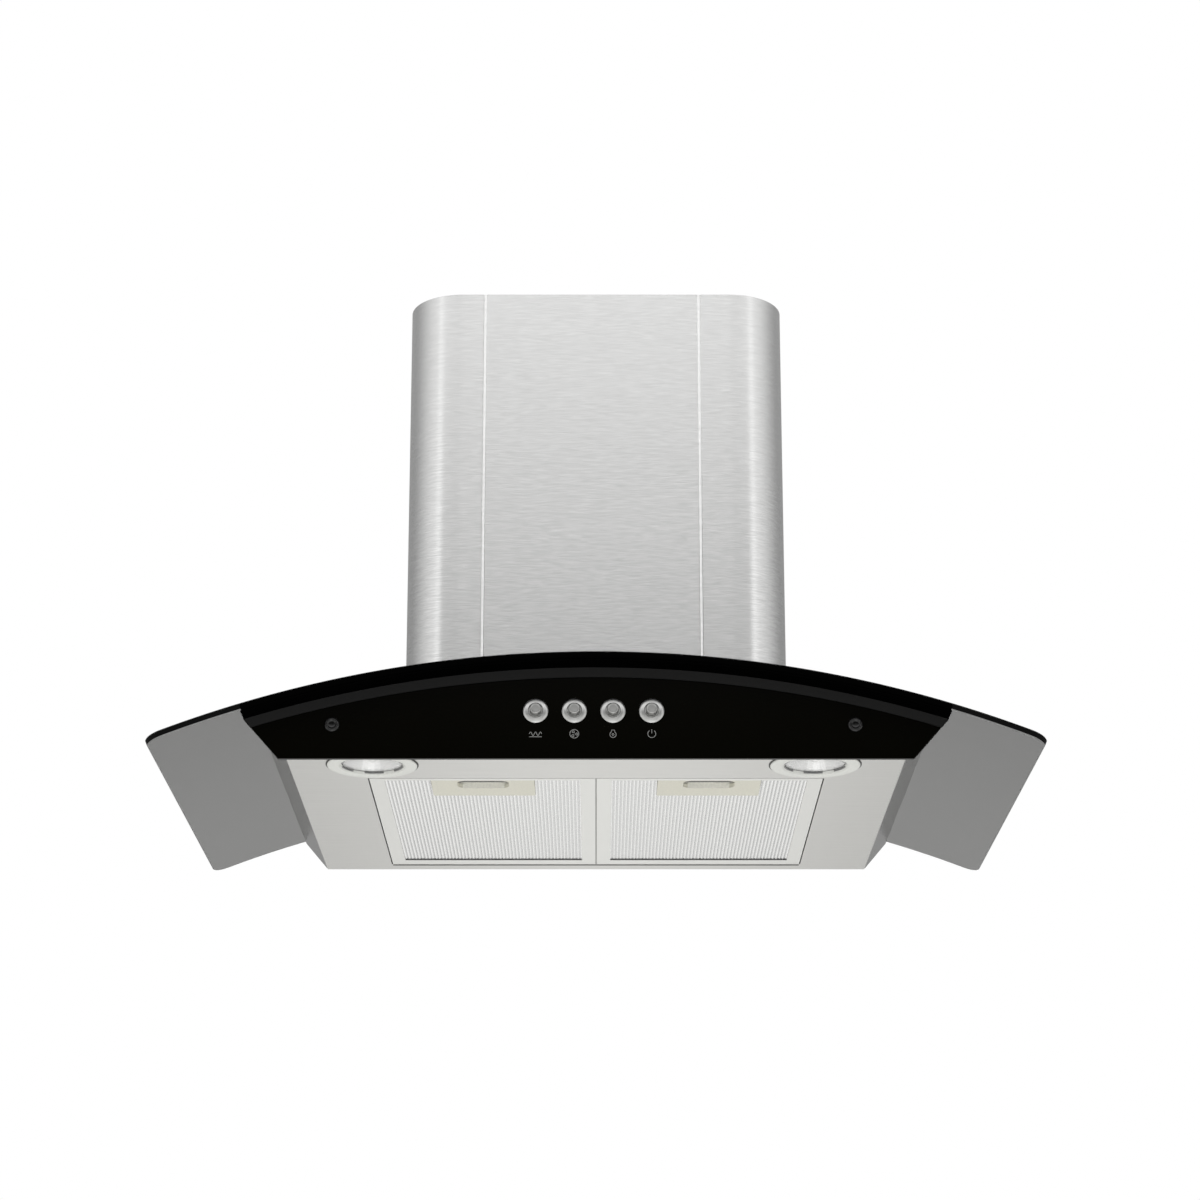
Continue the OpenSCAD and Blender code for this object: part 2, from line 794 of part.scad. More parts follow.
// Spiral of the housing: its radius grows evenly round the fan from the cutoff to the outlet
function spiral(angle, grow) =
    let (r = scroll_start_r + grow
        + (scroll_end_r - scroll_start_r) * (angle - cutoff_angle) / (360 - cutoff_angle))
    [fan_d + r * cos(angle), fan_z + r * sin(angle)];

module scroll_outline(grow) {
    turn = 6;
    throat_back = fan_d + scroll_start_r * cos(cutoff_angle) / 2 - grow;
    polygon(concat(
        [for (a = [cutoff_angle:turn:360]) spiral(a, grow)],
        [[throat_front + grow, scroll_top], [throat_back, scroll_top]]
    ));
}

module on_fan(x) {
    translate([x, -fan_d, fan_z]) rotate([0, 90, 0]) children();
}

module scroll_wrap() {
    color([0.62, 0.63, 0.65]) difference() {
        union() {
            across(scroll_w) scroll_outline(scroll_t);
            slab(2 * flange_half, collar_d + flange_half, collar_d - flange_half,
                scroll_top - flange_t, scroll_top);
        }
        across(scroll_w + over) scroll_outline(0);
        slab(scroll_w, throat_front, throat_front - outlet_r, scroll_top - 2 * flange_t, scroll_top + over);
    }
}

module scroll_side(side) {
    middle = side * (scroll_w + scroll_t) / 2;
    color([0.62, 0.63, 0.65]) difference() {
        translate([middle, 0, 0]) across(scroll_t) scroll_outline(scroll_t);
        slab(wide, glass_d, 0, scroll_top - flange_t, tall);
        on_fan(middle - scroll_t) cylinder(r = inlet_r + scroll_t, h = 2 * scroll_t);
    }
}

module inlet_rings() {
    lip = 6;
    flange = 8;
    on = scroll_w / 2 + scroll_t;
    color([0.3, 0.31, 0.33]) for (s = [left, right])
        on_fan(s * on) rotate([0, s == left ? 180 : 0, 0]) rotate_extrude() difference() {
            union() {
                translate([inlet_r + scroll_t / 2, -lip - scroll_t])
                    square([scroll_t / 2, lip + scroll_t + over]);
                square([inlet_r + flange, scroll_t]);
            }
            translate([-over, -2 * lip]) square([inlet_r + over, 4 * lip]);
        }
}

hub_r = 10;
hub_l = 30;
disc_t = 1.5;
end_ring_t = 2;
blade_t = 0.8;
blade_depth = 13;
blade_in_r = wheel_r - blade_depth;
blade_lean = 14;

// A forward-curved blade: it bows from its root on the inner circle to its tip on the outer one
function blade_point(t, side) =
    let (r = blade_in_r + (wheel_r - 1 - blade_in_r) * t)
    let (angle = blade_lean * t * t + side * blade_t / 2 * 180 / (PI * r))
    [r * cos(angle), r * sin(angle)];

module blade() {
    steps = 4;
    polygon(concat(
        [for (i = [0:steps]) blade_point(i / steps, -1)],
        [for (i = [steps:-1:0]) blade_point(i / steps, 1)]
    ));
}

module fan_wheel() {
    color([0.35, 0.36, 0.38]) on_fan(0) {
        translate([0, 0, -axis_end]) linear_extrude(wheel_w)
            for (i = [0:blades - 1]) rotate(i * 360 / blades) blade();
        difference() {
            union() {
                translate([0, 0, -disc_t / 2]) cylinder(r = wheel_r, h = disc_t);
                translate([0, 0, disc_t / 2 - hub_l]) cylinder(r = hub_r, h = hub_l);
            }
            cylinder(r = shaft_r, h = 3 * hub_l, center = true);
        }
        for (z = [-axis_end, axis_end - end_ring_t]) translate([0, 0, z]) difference() {
            cylinder(r = wheel_r, h = end_ring_t);
            translate([0, 0, -over]) cylinder(r = wheel_r - 6, h = end_ring_t + 2 * over);
        }
    }
}

motor_start = disc_t / 2 + 5;
motor_l = 58;
shaft_l = 60;
shaft_start = disc_t / 2 - hub_l;

module fan_shaft() {
    color("silver") on_fan(shaft_start) cylinder(r = shaft_r, h = shaft_l);
}

module fan_motor() {
    nose = 3;
    edge = 4;
    color([0.5, 0.5, 0.52]) on_fan(motor_start) difference() {
        union() {
            cylinder(r = hub_r + nose, h = motor_l);
            translate([0, 0, nose]) cylinder(r = motor_r - edge, h = motor_l - nose);
            translate([0, 0, nose + edge]) cylinder(r = motor_r, h = motor_l - nose - 2 * edge);
        }
        translate([0, 0, -over]) cylinder(r = shaft_r + running, h = shaft_l - hub_l + over);
    }
}

bracket_reach = 18;
bracket_foot_r = inlet_r + bracket_reach;
bracket_arm_w = 12;

module motor_bracket() {
    start = motor_start + motor_l;
    foot_l = start - scroll_w / 2 - scroll_t;
    color([0.6, 0.6, 0.62]) on_fan(start) {
        cylinder(r = motor_r - 4, h = 2 * sheet_t);
        for (a = [90, 210, 330]) rotate(a) {
            translate([0, -bracket_arm_w / 2, 0]) cube([bracket_foot_r, bracket_arm_w, 2 * sheet_t]);
            translate([bracket_foot_r, 0, -foot_l])
                cylinder(r = bracket_arm_w / 2, h = foot_l + 2 * sheet_t);
        }
    }
}

can_r = 15;
can_l = 60;

module run_capacitor() {
    x = box_w / 2 - sheet_t - can_r - 2;
    color([0.85, 0.85, 0.86]) translate([x, -box_front + 3 * can_r, fan_z - 2 * can_r]) {
        cylinder(r = can_r, h = can_l);
        translate([0, -can_r / 2, can_l / 4]) cube([can_r + 2, can_r, can_l / 2]);
    }
}

module terminal_box() {
    size = [2 * can_r, 6 * can_r, can_l];
    color([0.2, 0.2, 0.2]) translate([-box_w / 2 + sheet_t, -box_front + 2 * intake_margin, fan_z]) {
        cube(size);
        translate([size[0], size[1] / 8, size[2] / 8]) cube([2, size[1] * 3 / 4, size[2] * 3 / 4]);
    }
}

gland_x = -box_w / 2 + 2 * can_r;
gland_d = box_front - 2 * can_r;
gland_r = 9.5;
gland_bore_r = 4.5;
gland_top = 14;

module cable_gland() {
    color([0.12, 0.12, 0.12]) translate([gland_x, -gland_d, box_top]) difference() {
        union() {
            translate([0, 0, -gland_top]) cylinder(r = gland_r, h = 2 * gland_top);
            cylinder(r = gland_r + 3, h = gland_top / 3, $fn = 6);
            translate([0, 0, -sheet_t - gland_top / 3])
                cylinder(r = gland_r + 3, h = gland_top / 3, $fn = 6);
            translate([0, 0, gland_top / 3]) cylinder(r = gland_r + 1, h = gland_top / 2);
        }
        translate([0, 0, -2 * gland_top]) cylinder(r = gland_bore_r, h = 4 * gland_top);
    }
}

// Duct collar and its two damper flaps, drawn about the collar's axis with the box's top at zero

collar_in_r = collar_r - collar_t;
seat_ring_w = 4;
seat_ring_h = 3;
knuckle_r = pin_r + 1.6;
knuckle_l = 12;
knuckle_x = 44;
flap_r = collar_in_r - 1;
flap_low = damper_z - flap_t / 2;
flap_start = knuckle_r + 0.8;

module at_collar() {
    translate([0, -collar_d, box_top]) children();
}

module duct_collar() {
    color([0.15, 0.15, 0.16]) at_collar() difference() {
        union() {
            rotate_extrude() {
                translate([collar_in_r, 0]) square([collar_t, collar_h]);
                translate([collar_in_r - seat_ring_w, flap_low - seat - seat_ring_h])
                    square([seat_ring_w + over, seat_ring_h]);
            }
            difference() {
                translate([-flange_half, -flange_half, 0])
                    cube([2 * flange_half, 2 * flange_half, flange_t]);
                translate([0, 0, -over]) cylinder(r = collar_in_r + over, h = flange_t + 2 * over);
            }
        }
        translate([0, 0, damper_z]) rotate([0, 90, 0])
            cylinder(r = pin_r, h = 4 * collar_r, center = true);
        translate([-collar_in_r, -knuckle_r - seat, flap_low - seat - seat_ring_h - over])
            cube([2 * collar_in_r, 2 * (knuckle_r + seat), seat_ring_h + 2 * over]);
    }
}

module damper_pin() {
    color("silver") at_collar() translate([-collar_r, 0, damper_z]) rotate([0, 90, 0])
        cylinder(r = pin_r, h = 2 * collar_r);
}

// side is left for the flap that opens to the front, right for the one to the rear
module damper_flap(side) {
    color([0.8, 0.8, 0.8]) at_collar() translate([0, 0, damper_z]) difference() {
        union() {
            intersection() {
                translate([0, 0, -flap_t / 2]) cylinder(r = flap_r, h = flap_t);
                translate([-flap_r, side == right ? flap_start : -flap_r - flap_start, -flap_t])
                    cube([2 * flap_r, flap_r, 2 * flap_t]);
            }
            for (x = [-knuckle_x, knuckle_x]) translate([x + side * (knuckle_l + seat) / 2, 0, 0]) {
                rotate([0, 90, 0]) cylinder(r = knuckle_r, h = knuckle_l, center = true);
                translate([-knuckle_l / 2, side == right ? 0 : -flap_start - over, -flap_t / 2])
                    cube([knuckle_l, flap_start + over, flap_t]);
            }
        }
        rotate([0, 90, 0]) cylinder(r = pin_r + running, h = 3 * flap_r, center = true);
    }
}

// Chimney cover and wall fixing

// The folded hem at the rear of the cover, which overlaps half of its wall
hem_w = 10;
hem_t = 1.5 * sheet_t;
cover_screw_drop = 22;
cover_screw_z = chimney_top - cover_screw_drop;
cover_screw_d = 18;
cover_screw_r = 2;
cover_screw_head_r = 4;
ear_l = 28;
strip_h = 30;
strip_t = 1.5;
strip_hole_x = 110;
strip_hole_r = 3;
hem_x = chimney_w / 2 - 2 * sheet_t;
ear_x = hem_x - seat;

module chimney_plan(inset) {
    back = inset > 0 ? -over : wall_gap;
    difference() {
        rounded_plan(chimney_w - 2 * inset, chimney_d - inset, back - 2 * chimney_r, chimney_r - inset);
        translate([-chimney_w, -back]) square([2 * chimney_w, 4 * chimney_r]);
    }
}

module cover_screw_holes(r, l) {
    translate([0, -cover_screw_d, cover_screw_z]) rotate([0, 90, 0])
        cylinder(r = r, h = l, center = true);
}

module chimney_cover() {
    color([0.76, 0.76, 0.76]) difference() {
        union() {
            linear_extrude(chimney_top) difference() {
                chimney_plan(0);
                chimney_plan(sheet_t);
            }
            for (s = [left, right]) translate([s * (hem_x + hem_t / 2), 0, 0])
                slab(hem_t, wall_gap + hem_w, wall_gap, 0, chimney_top);
        }
        run(glass_d, 0) arch_disc(arch_r + seat);
        translate([0, 0, -tall / 2]) slab(chimney_w * 2, glass_d, 0, 0, tall / 2);
        for (s = [left, right]) translate([s * groove_x - groove_offset, 0, 0])
            slab(groove_w, chimney_d + over, chimney_d - groove_h, 0, chimney_top + over);
        cover_screw_holes(cover_screw_r + seat, 2 * chimney_w);
    }
}

module chimney_bracket() {
    low = cover_screw_z - strip_h / 2;
    color([0.7, 0.71, 0.72]) difference() {
        union() {
            slab(2 * ear_x, strip_t, 0, low, low + strip_h);
            for (s = [left, right]) translate([s * (ear_x - strip_t / 2), 0, 0])
                slab(strip_t, ear_l, 0, low, low + strip_h);
        }
        for (x = [-strip_hole_x, strip_hole_x]) translate([x, over, cover_screw_z])
            rotate([90, 0, 0]) cylinder(r = strip_hole_r, h = strip_t + 2 * over);
        cover_screw_holes(cover_screw_r + seat, 2 * chimney_w);
    }
}

module chimney_screws() {
    head_h = 2;
    screw_l = 9;
    color("silver") for (s = [left, right])
        translate([s * chimney_w / 2, -cover_screw_d, cover_screw_z]) rotate([0, s * 90, 0]) {
            intersection() {
                translate([0, 0, head_h - 2 * cover_screw_head_r]) sphere(r = 2 * cover_screw_head_r);
                cylinder(r = cover_screw_head_r, h = head_h + over);
            }
            translate([0, 0, -screw_l]) cylinder(r = cover_screw_r, h = screw_l + head_h / 2);
        }
}

// The bracket's lip and the two hooks that hang behind it
bracket_lip_back = box_back - 5;
bracket_lip_front = box_back - 3;
bracket_lip_h = 12;
bracket_lip_top = mount_h - bracket_h / 2 + bracket_lip_h;
hook_w = 50;
hook_x = 40;
hook_t = 1.5;

module wall_bracket() {
    low = mount_h - bracket_h / 2;
    color([0.7, 0.71, 0.72]) difference() {
        union() {
            slab(bracket_w, bracket_t, 0, low, low + bracket_h);
            slab(bracket_w, bracket_lip_front, 0, low, low + bracket_t);
            slab(bracket_w, bracket_lip_front, bracket_lip_back, low, bracket_lip_top);
        }
        for (x = [-hole_dx / 2, hole_dx / 2], z = [-hole_dz / 2, hole_dz / 2])
            translate([x, over, mount_h + z]) rotate([90, 0, 0]) cylinder(r = hole_r, h = 6 * over);
    }
}

module hanger_plate() {
    hook_back = bracket_t + seat;
    hook_low = bracket_lip_top;
    color([0.66, 0.67, 0.68]) {
        slab(2 * hook_x + hook_w, box_back, box_back - sheet_t,
            hook_low - hook_w / 4, mount_h + bracket_h / 4);
        for (x = [-hook_x, hook_x]) translate([x, 0, 0]) {
            slab(hook_w, box_back, hook_back, hook_low, hook_low + hook_t);
            slab(hook_w, hook_back + hook_t, hook_back, hook_low - hook_w / 8, hook_low + hook_t);
        }
    }
}

placed() glass_canopy();
placed() glass_gasket();
placed() glass_screws();
placed() canopy_shell();
placed() bottom_tray();
placed() fascia_rail();
placed() control_panel();
placed() screw_caps();
placed() button_bezel(1);  // button_bezel_1
placed() button_bezel(2);  // button_bezel_2
placed() button_bezel(3);  // button_bezel_3
placed() button_bezel(4);  // button_bezel_4
placed() button_cap(1);  // button_cap_1
placed() button_cap(2);  // button_cap_2
placed() button_cap(3);  // button_cap_3
placed() button_cap(4);  // button_cap_4
placed() switch_block();
placed() lamp_ring(left);  // lamp_ring_left
placed() lamp_ring(right);  // lamp_ring_right
placed() lamp_lens(left);  // lamp_lens_left
placed() lamp_lens(right);  // lamp_lens_right
placed() lamp_reflector(left);  // lamp_reflector_left
placed() lamp_reflector(right);  // lamp_reflector_right
placed() lamp_capsule(left);  // lamp_capsule_left
placed() lamp_capsule(right);  // lamp_capsule_right
placed() lamp_socket(left);  // lamp_socket_left
placed() lamp_socket(right);  // lamp_socket_right
placed() filter_frame(left);  // filter_frame_left
placed() filter_frame(right);  // filter_frame_right
placed() filter_mesh(left);  // filter_mesh_left
placed() filter_mesh(right);  // filter_mesh_right
placed() filter_grip(left);  // filter_grip_left
placed() filter_grip(right);  // filter_grip_right
placed() filter_latch(left);  // filter_latch_left
placed() filter_latch(right);  // filter_latch_right
placed() blower_front();
placed() blower_rear();
placed() blower_side(left);  // blower_side_left
placed() blower_side(right);  // blower_side_right
placed() blower_top();
placed() scroll_wrap();
placed() scroll_side(left);  // scroll_side_left
placed() scroll_side(right);  // scroll_side_right
placed() inlet_rings();
placed() fan_wheel();
placed() fan_shaft();
placed() fan_motor();
placed() motor_bracket();
placed() run_capacitor();
placed() terminal_box();
placed() cable_gland();
placed() duct_collar();
placed() damper_pin();
placed() damper_flap(left);  // damper_flap_front
placed() damper_flap(right);  // damper_flap_rear
placed() chimney_cover();
placed() chimney_bracket();
placed() chimney_screws();
placed() wall_bracket();
placed() hanger_plate();
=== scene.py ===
import math

import bmesh
import bpy
import numpy as np
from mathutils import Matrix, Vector


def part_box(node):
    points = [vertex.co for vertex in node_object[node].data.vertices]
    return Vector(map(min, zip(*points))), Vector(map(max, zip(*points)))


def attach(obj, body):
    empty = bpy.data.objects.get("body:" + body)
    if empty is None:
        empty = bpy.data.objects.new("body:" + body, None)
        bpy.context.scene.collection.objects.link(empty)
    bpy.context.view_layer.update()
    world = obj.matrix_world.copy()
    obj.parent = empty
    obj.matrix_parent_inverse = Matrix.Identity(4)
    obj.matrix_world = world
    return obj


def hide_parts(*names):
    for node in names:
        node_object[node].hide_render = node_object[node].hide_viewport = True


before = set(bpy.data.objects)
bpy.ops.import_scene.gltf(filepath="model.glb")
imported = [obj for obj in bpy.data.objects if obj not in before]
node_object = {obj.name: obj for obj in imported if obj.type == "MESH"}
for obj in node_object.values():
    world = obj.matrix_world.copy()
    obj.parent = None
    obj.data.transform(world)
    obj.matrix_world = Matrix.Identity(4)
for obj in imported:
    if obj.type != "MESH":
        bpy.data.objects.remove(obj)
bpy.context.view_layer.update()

mm = 0.001


# Camera
# It stands 2.9 m in front of the wall and 0.67 m below the underside, and looks up at the hood.

camera = bpy.data.objects.new("camera", bpy.data.cameras.new("camera"))
bpy.context.scene.collection.objects.link(camera)
camera.location = (0.0, -2.8905, -0.920)
camera.rotation_euler = (math.radians(90 + 15.9), 0, 0)
camera.data.sensor_width = 36
camera.data.lens = 90.85
camera.data.shift_x = 0.0033
camera.data.shift_y = 0.1006
bpy.context.scene.camera = camera
bpy.context.scene.view_settings.view_transform = "Standard"


# Studio
# A pale floor 1.65 m under the hood, clear from below, a soft light on each side, one above and one behind,
# and a white backdrop. Metal mirrors a room of its own: on the camera's side a band of light about 30
# degrees up, and walls that darken from the sides to the rear.

class Graph:
    """Adds shader nodes to a tree and links them: a socket given as an input is linked, a value is set."""

    def __init__(self, tree):
        self.tree = tree
        tree.nodes.clear()

    def add(self, kind, inputs=None, **settings):
        node = self.tree.nodes.new(kind)
        for name, value in settings.items():
            setattr(node, name, value)
        for name, value in (inputs or {}).items():
            socket = node.inputs[name]
            if isinstance(value, bpy.types.NodeSocket):
                self.tree.links.new(value, socket)
            elif socket.type == "RGBA" and len(value) == 3:
                socket.default_value = (*value, 1)
            else:
                socket.default_value = value
        return node

    def math(self, operation, *values):
        return self.add("ShaderNodeMath", dict(enumerate(values)), operation=operation).outputs[0]

    def vector(self, operation, first, second):
        return self.add("ShaderNodeVectorMath", {0: first, 1: second}, operation=operation).outputs[0]

    def scaled(self, color, factor):
        return self.add("ShaderNodeVectorMath", {0: color, "Scale": factor}, operation="SCALE").outputs[0]

    def ramp(self, factor, low, high, start=0.0, end=1.0):
        """Maps factor from low..high to start..end along a smooth step."""
        return self.add("ShaderNodeMapRange", {"Value": factor, "From Min": low, "From Max": high,
                                               "To Min": start, "To Max": end},
                        interpolation_type="SMOOTHSTEP").outputs[0]


world = bpy.data.worlds.new("studio")
bpy.context.scene.world = world
world.use_nodes = True
g = Graph(world.node_tree)
way = g.add("ShaderNodeSeparateXYZ", {0: g.add("ShaderNodeTexCoord").outputs["Generated"]}).outputs
turn = g.math("ARCTAN2", g.math("ABSOLUTE", way[0]), g.math("MULTIPLY", way[1], -1.0))


def by_turn(start, end, first, last):
    """Brightness that changes as the view turns away from the camera's side, between two angles in degrees."""
    return g.ramp(turn, math.radians(start), math.radians(end), first, last)


def by_height(start, end, first, last):
    """Brightness that changes with height over the horizon, between two angles in degrees."""
    return g.ramp(way[2], math.sin(math.radians(start)), math.sin(math.radians(end)), first, last)


ceiling = g.math("MULTIPLY", by_turn(0, 8, 1.0, 0.93),
                 g.math("MULTIPLY", by_height(14.7, 24, 0.0, 1.53), by_height(34, 52, 1.0, 0.4)))
side_light = g.math("MULTIPLY", g.math("ADD", by_turn(48, 130, 0.96, 0.36), by_turn(50, 60, 0.2, 0.0)),
                    by_height(16, 26, 0.84, 1.1))
behind = by_turn(152, 170, 0.0, 0.03)
in_front = by_turn(36, 50, 1.0, 0.0)
seen_by_metal = g.math("ADD", g.math("MULTIPLY", ceiling, in_front),
                       g.math("MULTIPLY", g.math("ADD", side_light, behind), g.math("SUBTRACT", 1.0, in_front)))
light_path = g.add("ShaderNodeLightPath").outputs
backdrop, room, fill = (g.add("ShaderNodeBackground", {"Color": (1, 1, 1), "Strength": strength}).outputs[0]
                        for strength in (1.0, seen_by_metal, 0.91))
lighting = g.add("ShaderNodeMixShader", {0: light_path["Is Glossy Ray"], 1: fill, 2: room}).outputs[0]
direct = g.math("MAXIMUM", light_path["Is Camera Ray"], light_path["Is Transmission Ray"])
sky = g.add("ShaderNodeMixShader", {0: direct, 1: lighting, 2: backdrop}).outputs[0]
g.add("ShaderNodeOutputWorld", {"Surface": sky})


def build(name, *grids, sharp=35.0):
    """One object at the origin, from grids of points (rows, columns, 3) with an optional UV grid.

    Each cell of a grid is a face. Points of a grid that meet are merged, which closes seams and poles, and
    the faces are turned outwards. Edges steeper than the angle `sharp` are shaded as edges."""
    points, faces, uvs, start = [], [], [], 0
    for grid in grids:
        grid, uv = grid if isinstance(grid, tuple) else (grid, np.zeros(grid.shape[:2] + (2,)))
        index = start + np.arange(grid[..., 0].size).reshape(grid.shape[:2])
        quads = np.stack([index[:-1, :-1], index[:-1, 1:], index[1:, 1:], index[1:, :-1]], -1)
        points.append(grid.reshape(-1, 3))
        uvs.append(uv.reshape(-1, 2))
        faces.append(quads.reshape(-1, 4))
        start += index.size
    mesh = bpy.data.meshes.new(name)
    mesh.from_pydata(np.concatenate(points).tolist(), [], np.concatenate(faces).tolist())
    corners = np.empty(len(mesh.loops), int)
    mesh.loops.foreach_get("vertex_index", corners)
    mesh.uv_layers.new(name="along").uv.foreach_set("vector", np.concatenate(uvs)[corners].astype("f").ravel())
    shape = bmesh.new()
    shape.from_mesh(mesh)
    bmesh.ops.remove_doubles(shape, verts=shape.verts, dist=1e-6)
    bmesh.ops.recalc_face_normals(shape, faces=shape.faces)
    shape.to_mesh(mesh)
    shape.free()
    mesh.shade_smooth()
    mesh.set_sharp_from_angle(angle=math.radians(sharp))
    made = bpy.data.objects.new(name, mesh)
    bpy.context.scene.collection.objects.link(made)
    return made


def new_material(name):
    """A material and the graph that fills its node tree."""
    material = bpy.data.materials.new(name)
    material.use_nodes = True
    return material, Graph(material.node_tree)


floor_z, floor_half = -1.9, 30.0
floor_x, floor_y = np.meshgrid([-floor_half, floor_half], [-floor_half, floor_half])
floor = build("floor", np.stack([floor_x, floor_y, np.full((2, 2), floor_z)], -1))
if floor.data.polygons[0].normal.z < 0:
    floor.data.flip_normals()
floor_painted_falloff, g = new_material("floor_painted_falloff")
place = g.add("ShaderNodeSeparateXYZ", {0: g.add("ShaderNodeTexCoord").outputs["Object"]}).outputs
off_middle = g.math("ABSOLUTE", place[0])
# The floor's colour is painted darker a metre or so to each side of the middle and far behind the hood: painted
# shade, which the metal mirrors.
across = g.math("ADD", g.ramp(off_middle, 0.1, 1.2, 1.0, 0.62), g.ramp(off_middle, 2.2, 4.5, 0.0, 0.4))
far = g.ramp(place[1], 5.5, 9.5, 1.05, 0.7)
floor_tone = g.scaled((0.93, 0.93, 0.914), g.math("MULTIPLY", across, far))
paint = g.add("ShaderNodeBsdfDiffuse", {"Color": floor_tone}).outputs[0]
clear = g.add("ShaderNodeBsdfTransparent").outputs[0]
under = g.add("ShaderNodeNewGeometry").outputs["Backfacing"]
one_sided = g.add("ShaderNodeMixShader", {0: under, 1: paint, 2: clear}).outputs[0]
g.add("ShaderNodeOutputMaterial", {"Surface": one_sided})
floor.data.materials.append(floor_painted_falloff)


def soft_light(name, place, aim, width, height, watts):
    """A rectangular lamp that lights the hood, but is seen neither in its metal nor by the camera."""
    lamp = bpy.data.lights.new(name, "AREA")
    lamp.shape = "RECTANGLE"
    lamp.size, lamp.size_y, lamp.energy = width, height, watts
    holder = bpy.data.objects.new(name, lamp)
    holder.location = place
    holder.rotation_euler = (Vector(aim) - Vector(place)).to_track_quat("-Z", "Y").to_euler()
    holder.visible_glossy = False
    holder.visible_camera = False
    bpy.context.scene.collection.objects.link(holder)


soft_light("light_left", (-2.2, -2.4, 1.2), (0, -0.2, 0), 1.4, 1.8, 32)
soft_light("light_right", (2.2, -2.4, 1.2), (0, -0.2, 0), 1.4, 1.8, 32)
soft_light("light_above", (0, -1.2, 2.8), (0, -0.2, 0), 2.4, 1.6, 32)
soft_light("light_behind", (0, 2.6, 1.4), (0, 0, 0), 2.0, 1.4, 16)


# Chimney cover
# A sleeve of 1 mm stainless sheet, brushed from side to side, with rounded front corners, a folded hem
# along each rear edge and two thin pressed grooves. The ridge in each groove is given a lighter steel colour,
# a painted highlight. The sleeve's lower edge follows the arch of the glass.

def node_group(name, inputs, outputs):
    """An empty shader group with the named sockets. Inputs are given with their kind: Float or Vector."""
    tree = bpy.data.node_groups.new(name, "ShaderNodeTree")
    for socket, kind in inputs.items():
        tree.interface.new_socket(socket, in_out="INPUT", socket_type="NodeSocket" + kind)
    for socket in outputs:
        tree.interface.new_socket(socket, in_out="OUTPUT", socket_type="NodeSocketFloat")
    g = Graph(tree)
    return tree, g, g.add("NodeGroupInput").outputs


def brushed_group():
    """Brushing lines: noise that is stretched along the brushing, long and short lines together."""
    tree, g, source = node_group("brushed", {"Vector": "Vector", "Long": "Vector", "Short": "Vector"},
                                 ("Tone", "Height"))
    long_lines, short_lines = (
        g.add("ShaderNodeTexNoise", {"Vector": g.vector("MULTIPLY", source["Vector"], source[stretch]),
                                     "Scale": 1.0, "Detail": detail, "Roughness": roughness}).outputs[0]
        for stretch, detail, roughness in (("Long", 3.0, 0.6), ("Short", 4.0, 0.7)))
    tone = g.math("MULTIPLY", g.math("ADD", long_lines, short_lines), 0.5)
    g.add("NodeGroupOutput", {"Tone": tone, "Height": short_lines})
    return tree


brushed = brushed_group()


def brushed_metal(name, color, long_lines, short_lines, contrast, roughness, depth, fade=(0, 1, 1, 1),
                  **constant):
    """Brushed metal: the lines vary its colour and roughness and stand `depth` metres high.

    `fade` holds two heights and the share of the contrast at each."""
    material, g = new_material(name)
    place = g.add("ShaderNodeTexCoord").outputs["Object"]
    lines = g.add("ShaderNodeGroup", {"Vector": place, "Long": long_lines, "Short": short_lines},
                  node_tree=brushed)
    swing = g.math("MULTIPLY", contrast, g.ramp(g.add("ShaderNodeSeparateXYZ", {0: place}).outputs[2], *fade))
    tone = g.ramp(lines.outputs["Tone"], 0.3, 0.7, g.math("SUBTRACT", 1.0, swing), g.math("ADD", 1.0, swing))
    rough = g.ramp(lines.outputs["Tone"], 0.3, 0.7, roughness * 1.1, roughness * 0.9)
    bumped = g.add("ShaderNodeBump", {"Strength": 1.0, "Distance": depth, "Height": lines.outputs["Height"]})
    tangent = g.add("ShaderNodeTangent", direction_type="RADIAL", axis="Z")
    surface = g.add("ShaderNodeBsdfPrincipled", {
        "Base Color": g.scaled(color, tone), "Metallic": 1.0, "Roughness": rough,
        "Normal": bumped.outputs[0], "Tangent": tangent.outputs[0], **constant})
    g.add("ShaderNodeOutputMaterial", {"Surface": surface.outputs[0]})
    return material


def dress(material, *names):
    """Gives a finish to CAD nodes that are shown as they are."""
    for name in names:
        slots = node_object[name].data.materials
        slots.clear()
        slots.append(material)


def face_data(piece):
    """Centres and normals of a piece's faces, (n, 3) each."""
    centres, normals = np.empty(len(piece.data.polygons) * 3), np.empty(len(piece.data.polygons) * 3)
    piece.data.polygons.foreach_get("center", centres)
    piece.data.polygons.foreach_get("normal", normals)
    return centres.reshape(-1, 3), normals.reshape(-1, 3)


def paint_faces(piece, index, *materials):
    """Adds materials to a piece and gives each face one of them: 0 is the piece's own, then 1, 2 and so on."""
    for material in materials:
        piece.data.materials.append(material)
    piece.data.polygons.foreach_set("material_index", np.asarray(index, int))


def add_piece(piece, body, material, slot, *nodes):
    """Gives a new piece its body and its finish in a material slot, and hides the nodes that it stands for. The
    argument `slot` is not used.
    """
    piece.data.materials.append(material)
    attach(piece, body)
    if nodes:
        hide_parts(*nodes)


arch_r = 0.990
arch_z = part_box("glass_canopy")[1][2] - arch_r
seat = 0.3 * mm


def arch_height(x, radius):
    """Height of the arch over x: the upper half of a circle about (0, arch_z)."""
    return arch_z + np.sqrt(radius ** 2 - np.square(x))


def close_ends(grid):
    """Draws the first and the last column of a tube's grid together to one point each."""
    ends = [np.broadcast_to(grid[:, column].mean(0), (len(grid), 3))[:, None] for column in (0, -1)]
    return np.concatenate([ends[0], grid, ends[1]], 1)


